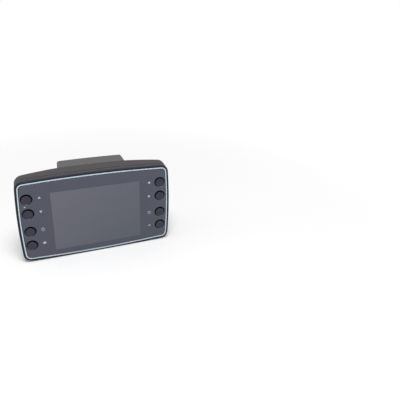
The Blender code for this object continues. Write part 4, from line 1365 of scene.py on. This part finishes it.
# %% Ring finish
RING_COLOUR = (0.53, 0.63, 0.70)
RING_SPREAD = 0.05
RING_PATCH = 3 * MM
RING_GRAIN = 0.15 * MM
RING_GRAIN_DEPTH = 0.01 * MM
RING_ROUGHNESS = 0.28
PATCH_ROUGHNESS = 0.12
ring_finish = Finish("pale_cyan_strip")
patches = ring_finish.noise(RING_PATCH, detail=3.0)
ring_shades = [shade_of(RING_COLOUR, 1 - RING_SPREAD), shade_of(RING_COLOUR, 1 + RING_SPREAD)]
ring_tone = ring_finish.mix(patches, *ring_shades)
ring_finish.set(Base_Color=ring_tone, Roughness=RING_ROUGHNESS + patches * PATCH_ROUGHNESS)
ring_finish.bump(ring_finish.noise(RING_GRAIN), RING_GRAIN_DEPTH, strength=0.2)
print("ring finish ready")

# %% [markdown]
# ## Rubber
# Keys and flap are black silicone. Fingers grey the pads and polish them a little, while the groove
# round each pad is unworn black rubber painted darker still, as shade. How far a point lies behind the
# panel's face tells the two apart, so one finish serves all eight keys. The flap is greyed a little and
# evenly all over. Two materials on each key would do as well, but the line between them would be too
# sharp.

# %% Rubber finish
# Painted shade: the first key colour is darker than black rubber, for the shaded groove round each pad.
KEY_GROOVE_SHADE = (0.007, 0.007, 0.010)
KEY_WORN = (0.031, 0.030, 0.048)
FLAP_CLEAN = (0.020, 0.019, 0.020)
FLAP_WORN = (0.032, 0.031, 0.032)
DUST_SIZE = 0.5 * MM
DUST_SHARE = 0.8
LEAST_WEAR = 0.55
RUBBER_GRAIN = 0.12 * MM
RUBBER_GRAIN_DEPTH = 0.012 * MM
RUBBER_ROUGHNESS = 0.5
RUBBER_SPECULAR = 0.3
WEAR_POLISH = 0.15


def rubber(name, unworn_or_shaded, greyed, wear_shade_depth):
    """Black silicone, greyed by touch from the front down to a given depth, and behind it a darker tone
    that is painted shade where a groove lies.
    """
    made = Finish(name)
    _, y, _ = made.axes()
    dust = made.noise(DUST_SIZE, detail=4.0)
    # The mask is 1 on worn faces and 0 behind them, where the keys' grooves take the painted shade.
    wear_outside_shade = y.ramp(at(wear_shade_depth), at(wear_shade_depth - PAD_EDGE)) * (dust * DUST_SHARE + LEAST_WEAR)
    tone = made.mix(wear_outside_shade, unworn_or_shaded, greyed)
    roughness = RUBBER_ROUGHNESS - wear_outside_shade * WEAR_POLISH
    made.set(Base_Color=tone, Roughness=roughness, Specular_IOR_Level=RUBBER_SPECULAR)
    made.bump(made.noise(RUBBER_GRAIN), RUBBER_GRAIN_DEPTH, strength=0.4)
    print(name, "made")
    return made


# Painted shade: the keys' grooves take the darkest tone.
key_finish = rubber("black_silicone", KEY_GROOVE_SHADE, KEY_WORN, dish_floor + PAD_EDGE)
flap_finish = rubber("black_flap_rubber", FLAP_CLEAN, FLAP_WORN, COVER_DEPTH)

# %% [markdown]
# ## Ink
# The ink is matt white with tiny gaps where the screen print didn't lay down fully. Plain white would do
# at arm's length, but looks like a sticker close up. A fine noise, cut off low, leaves only its deepest
# spots, and those are darkened.

# %% Ink finish
INK_COLOUR = (0.48, 0.49, 0.52)
PINHOLE_SIZE = 0.12 * MM
PINHOLE_RANGE = (0.28, 0.4)
PINHOLE_SHADE = 0.6
INK_ROUGHNESS = 0.6
ink_finish = Finish("white_ink")
covered = ink_finish.noise(PINHOLE_SIZE).ramp(*PINHOLE_RANGE)
ink_tone = ink_finish.mix(covered, shade_of(INK_COLOUR, PINHOLE_SHADE), INK_COLOUR)
ink_finish.set(Base_Color=ink_tone, Roughness=INK_ROUGHNESS)
print("ink finish ready")

# %% [markdown]
# ## Metal
# Screws, shield and port shell are bright steel, the inserts are brass. Turned and rolled metal isn't
# even: fine streaks change its gloss and slow stains its tone. The streaks are noise drawn out along
# the length of the piece. The port's blade is black with gold contacts, picked out by its place.

# %% Metal finishes
STEEL_COLOUR = (0.56, 0.56, 0.57)
BRASS_COLOUR = (0.72, 0.50, 0.20)
STREAK_SIZE = 0.08 * MM
STREAK_STRETCH = (1, 8, 1)
STREAK_DEPTH = 0.006 * MM
STREAK_ROUGHNESS = 0.18
STAIN_SIZE = 2.5 * MM
STAIN_SHADE = 0.82
STAIN_ROUGHNESS = 0.08
METAL_ROUGHNESS = 0.22


def metal(name, colour):
    """Turned metal with streaks in its roughness and stains in its tone, and that tone by itself."""
    made = Finish(name)
    streaks = made.noise(STREAK_SIZE, stretch=STREAK_STRETCH)
    stain = made.noise(STAIN_SIZE, detail=3.0)
    tone = made.mix(stain, shade_of(colour, STAIN_SHADE), colour)
    roughness = METAL_ROUGHNESS + streaks * STREAK_ROUGHNESS + stain * STAIN_ROUGHNESS
    made.set(Base_Color=tone, Metallic=1.0, Roughness=roughness)
    made.bump(streaks, STREAK_DEPTH, strength=0.3)
    print(name, "made")
    return made, tone


steel_finish, _ = metal("bright_steel_turned", STEEL_COLOUR)
brass_finish, _ = metal("brass_turned", BRASS_COLOUR)

# %% Port finish
BLADE_COLOUR = (0.02, 0.02, 0.022)
CONTACT_COLOUR = (0.80, 0.58, 0.25)
CONTACT_PITCH = 0.5 * MM
PITCH_MIDDLE = 0.5
CONTACT_HALF = 0.25
CONTACT_FADE = 0.05
BLADE_FADE = 0.05 * MM
port_finish, shell_tone = metal("port_shell_steel", STEEL_COLOUR)
x, y, z = port_finish.axes()
blade_halves = [side / 2 + BLADE_FADE for side in BLADE_SIZE]
on_blade = (x - port_place[0]).within(blade_halves[0], BLADE_FADE)
on_blade = on_blade * (z - port_place[1]).within(blade_halves[1], BLADE_FADE)
on_blade = on_blade * y.ramp(at(socket_floor), at(socket_floor) + 2 * BLADE_FADE)
contact = ((z / CONTACT_PITCH).fraction() - PITCH_MIDDLE).within(CONTACT_HALF, CONTACT_FADE)
blade_tone = port_finish.mix(contact, BLADE_COLOUR, CONTACT_COLOUR)
port_tone = port_finish.mix(on_blade, shell_tone, blade_tone)
port_finish.set(Base_Color=port_tone, Metallic=1 - on_blade * (1 - contact))
print("port finish ready")

# %% [markdown]
# ## Pieces inside
# Boards, battery, display and gaskets lie behind the shells. They show only through gaps or when the
# unit is taken apart, yet each has the finish of its own material: woven laminate, wrinkled foil,
# speckled ceramic, open foam. The same two-tone finish also gives the pale dot on the panel its tone.

# %% Inner finishes
BLOTCH_ROUGHNESS = 0.2


def inner(name, low, high, size, roughness, depth, metallic=0.0):
    """A finish of two tones in blotches of one size, which also raise its surface."""
    made = Finish(name)
    blotch = made.noise(size, detail=4.0)
    tone = made.mix(blotch.ramp(*TONE_RANGE), low, high)
    uneven = (blotch - NOISE_MIDDLE) * BLOTCH_ROUGHNESS
    made.set(Base_Color=tone, Roughness=roughness + uneven, Metallic=metallic)
    made.bump(blotch, depth, strength=0.5)
    print(name, "made")
    return made


laminate_finish = inner(
    "green_board",
    low=(0.006, 0.055, 0.025),
    high=(0.014, 0.095, 0.045),
    size=0.4 * MM,
    roughness=0.45,
    depth=0.02 * MM,
)
foil_finish = inner(
    "battery_wrap",
    low=(0.24, 0.26, 0.28),
    high=(0.36, 0.38, 0.40),
    size=5 * MM,
    roughness=0.38,
    depth=0.1 * MM,
    metallic=0.6,
)
ceramic_finish = inner(
    "antenna_ceramic",
    low=(0.48, 0.43, 0.36),
    high=(0.60, 0.55, 0.47),
    size=0.3 * MM,
    roughness=0.60,
    depth=0.02 * MM,
)
foam_finish = inner(
    "cellular_foam",
    low=(0.06, 0.06, 0.06),
    high=(0.13, 0.13, 0.13),
    size=0.25 * MM,
    roughness=0.95,
    depth=0.08 * MM,
)
glass_finish = inner(
    "display_stack",
    low=(0.10, 0.10, 0.12),
    high=(0.13, 0.13, 0.15),
    size=20 * MM,
    roughness=0.12,
    depth=0.002 * MM,
)
# Light grey tones for the pale dot in the panel.
pale_dot_finish = inner(
    "pale_dot_grey",
    low=(0.44, 0.45, 0.48),
    high=(0.56, 0.57, 0.60),
    size=0.2 * MM,
    roughness=0.25,
    depth=0.002 * MM,
)

# %% [markdown]
# ## Dressing
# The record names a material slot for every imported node, so one table from slot to finish dresses them
# all, the hidden ones too. The modelled pieces get their finish by name, because some, such as the port
# and its flap, have one made for them alone.

# %% Dress every piece
SLOT_FINISHES = {
    "satin_black_moulding": bezel_finish,
    "charcoal_moulding": housing_finish,
    "grey_moulding": cover_finish,
    "smoked_panel": panel_finish,
    "pale_cyan_trim": ring_finish,
    "black_rubber": key_finish,
    "display_glass": glass_finish,
    "green_laminate": laminate_finish,
    "bright_steel": steel_finish,
    "brass": brass_finish,
    "battery_foil": foil_finish,
    "pale_ceramic": ceramic_finish,
    "grey_foam": foam_finish,
}


def dress(finish, *pieces):
    for piece in pieces:
        piece.data.materials.clear()
        piece.data.materials.append(finish.material)


slot_of = {part["node"]: part["material_slot"] for part in frame["record"]["subparts"]}
for name, node in frame["nodes"].items():
    dress(SLOT_FINISHES[slot_of[name]], node)
dress(bezel_finish, bezel)
dress(ring_finish, ring)
dress(panel_finish, panel)
dress(key_finish, *key_caps)
dress(housing_finish, housing)
dress(cover_finish, cover)
dress(flap_finish, flap)
dress(port_finish, receptacle)
dress(steel_finish, *screws)
dress(brass_finish, *inserts)
dress(ink_finish, symbols)
dress(pale_dot_finish, lens)
print("dressed", len(frame["nodes"]), "CAD nodes")
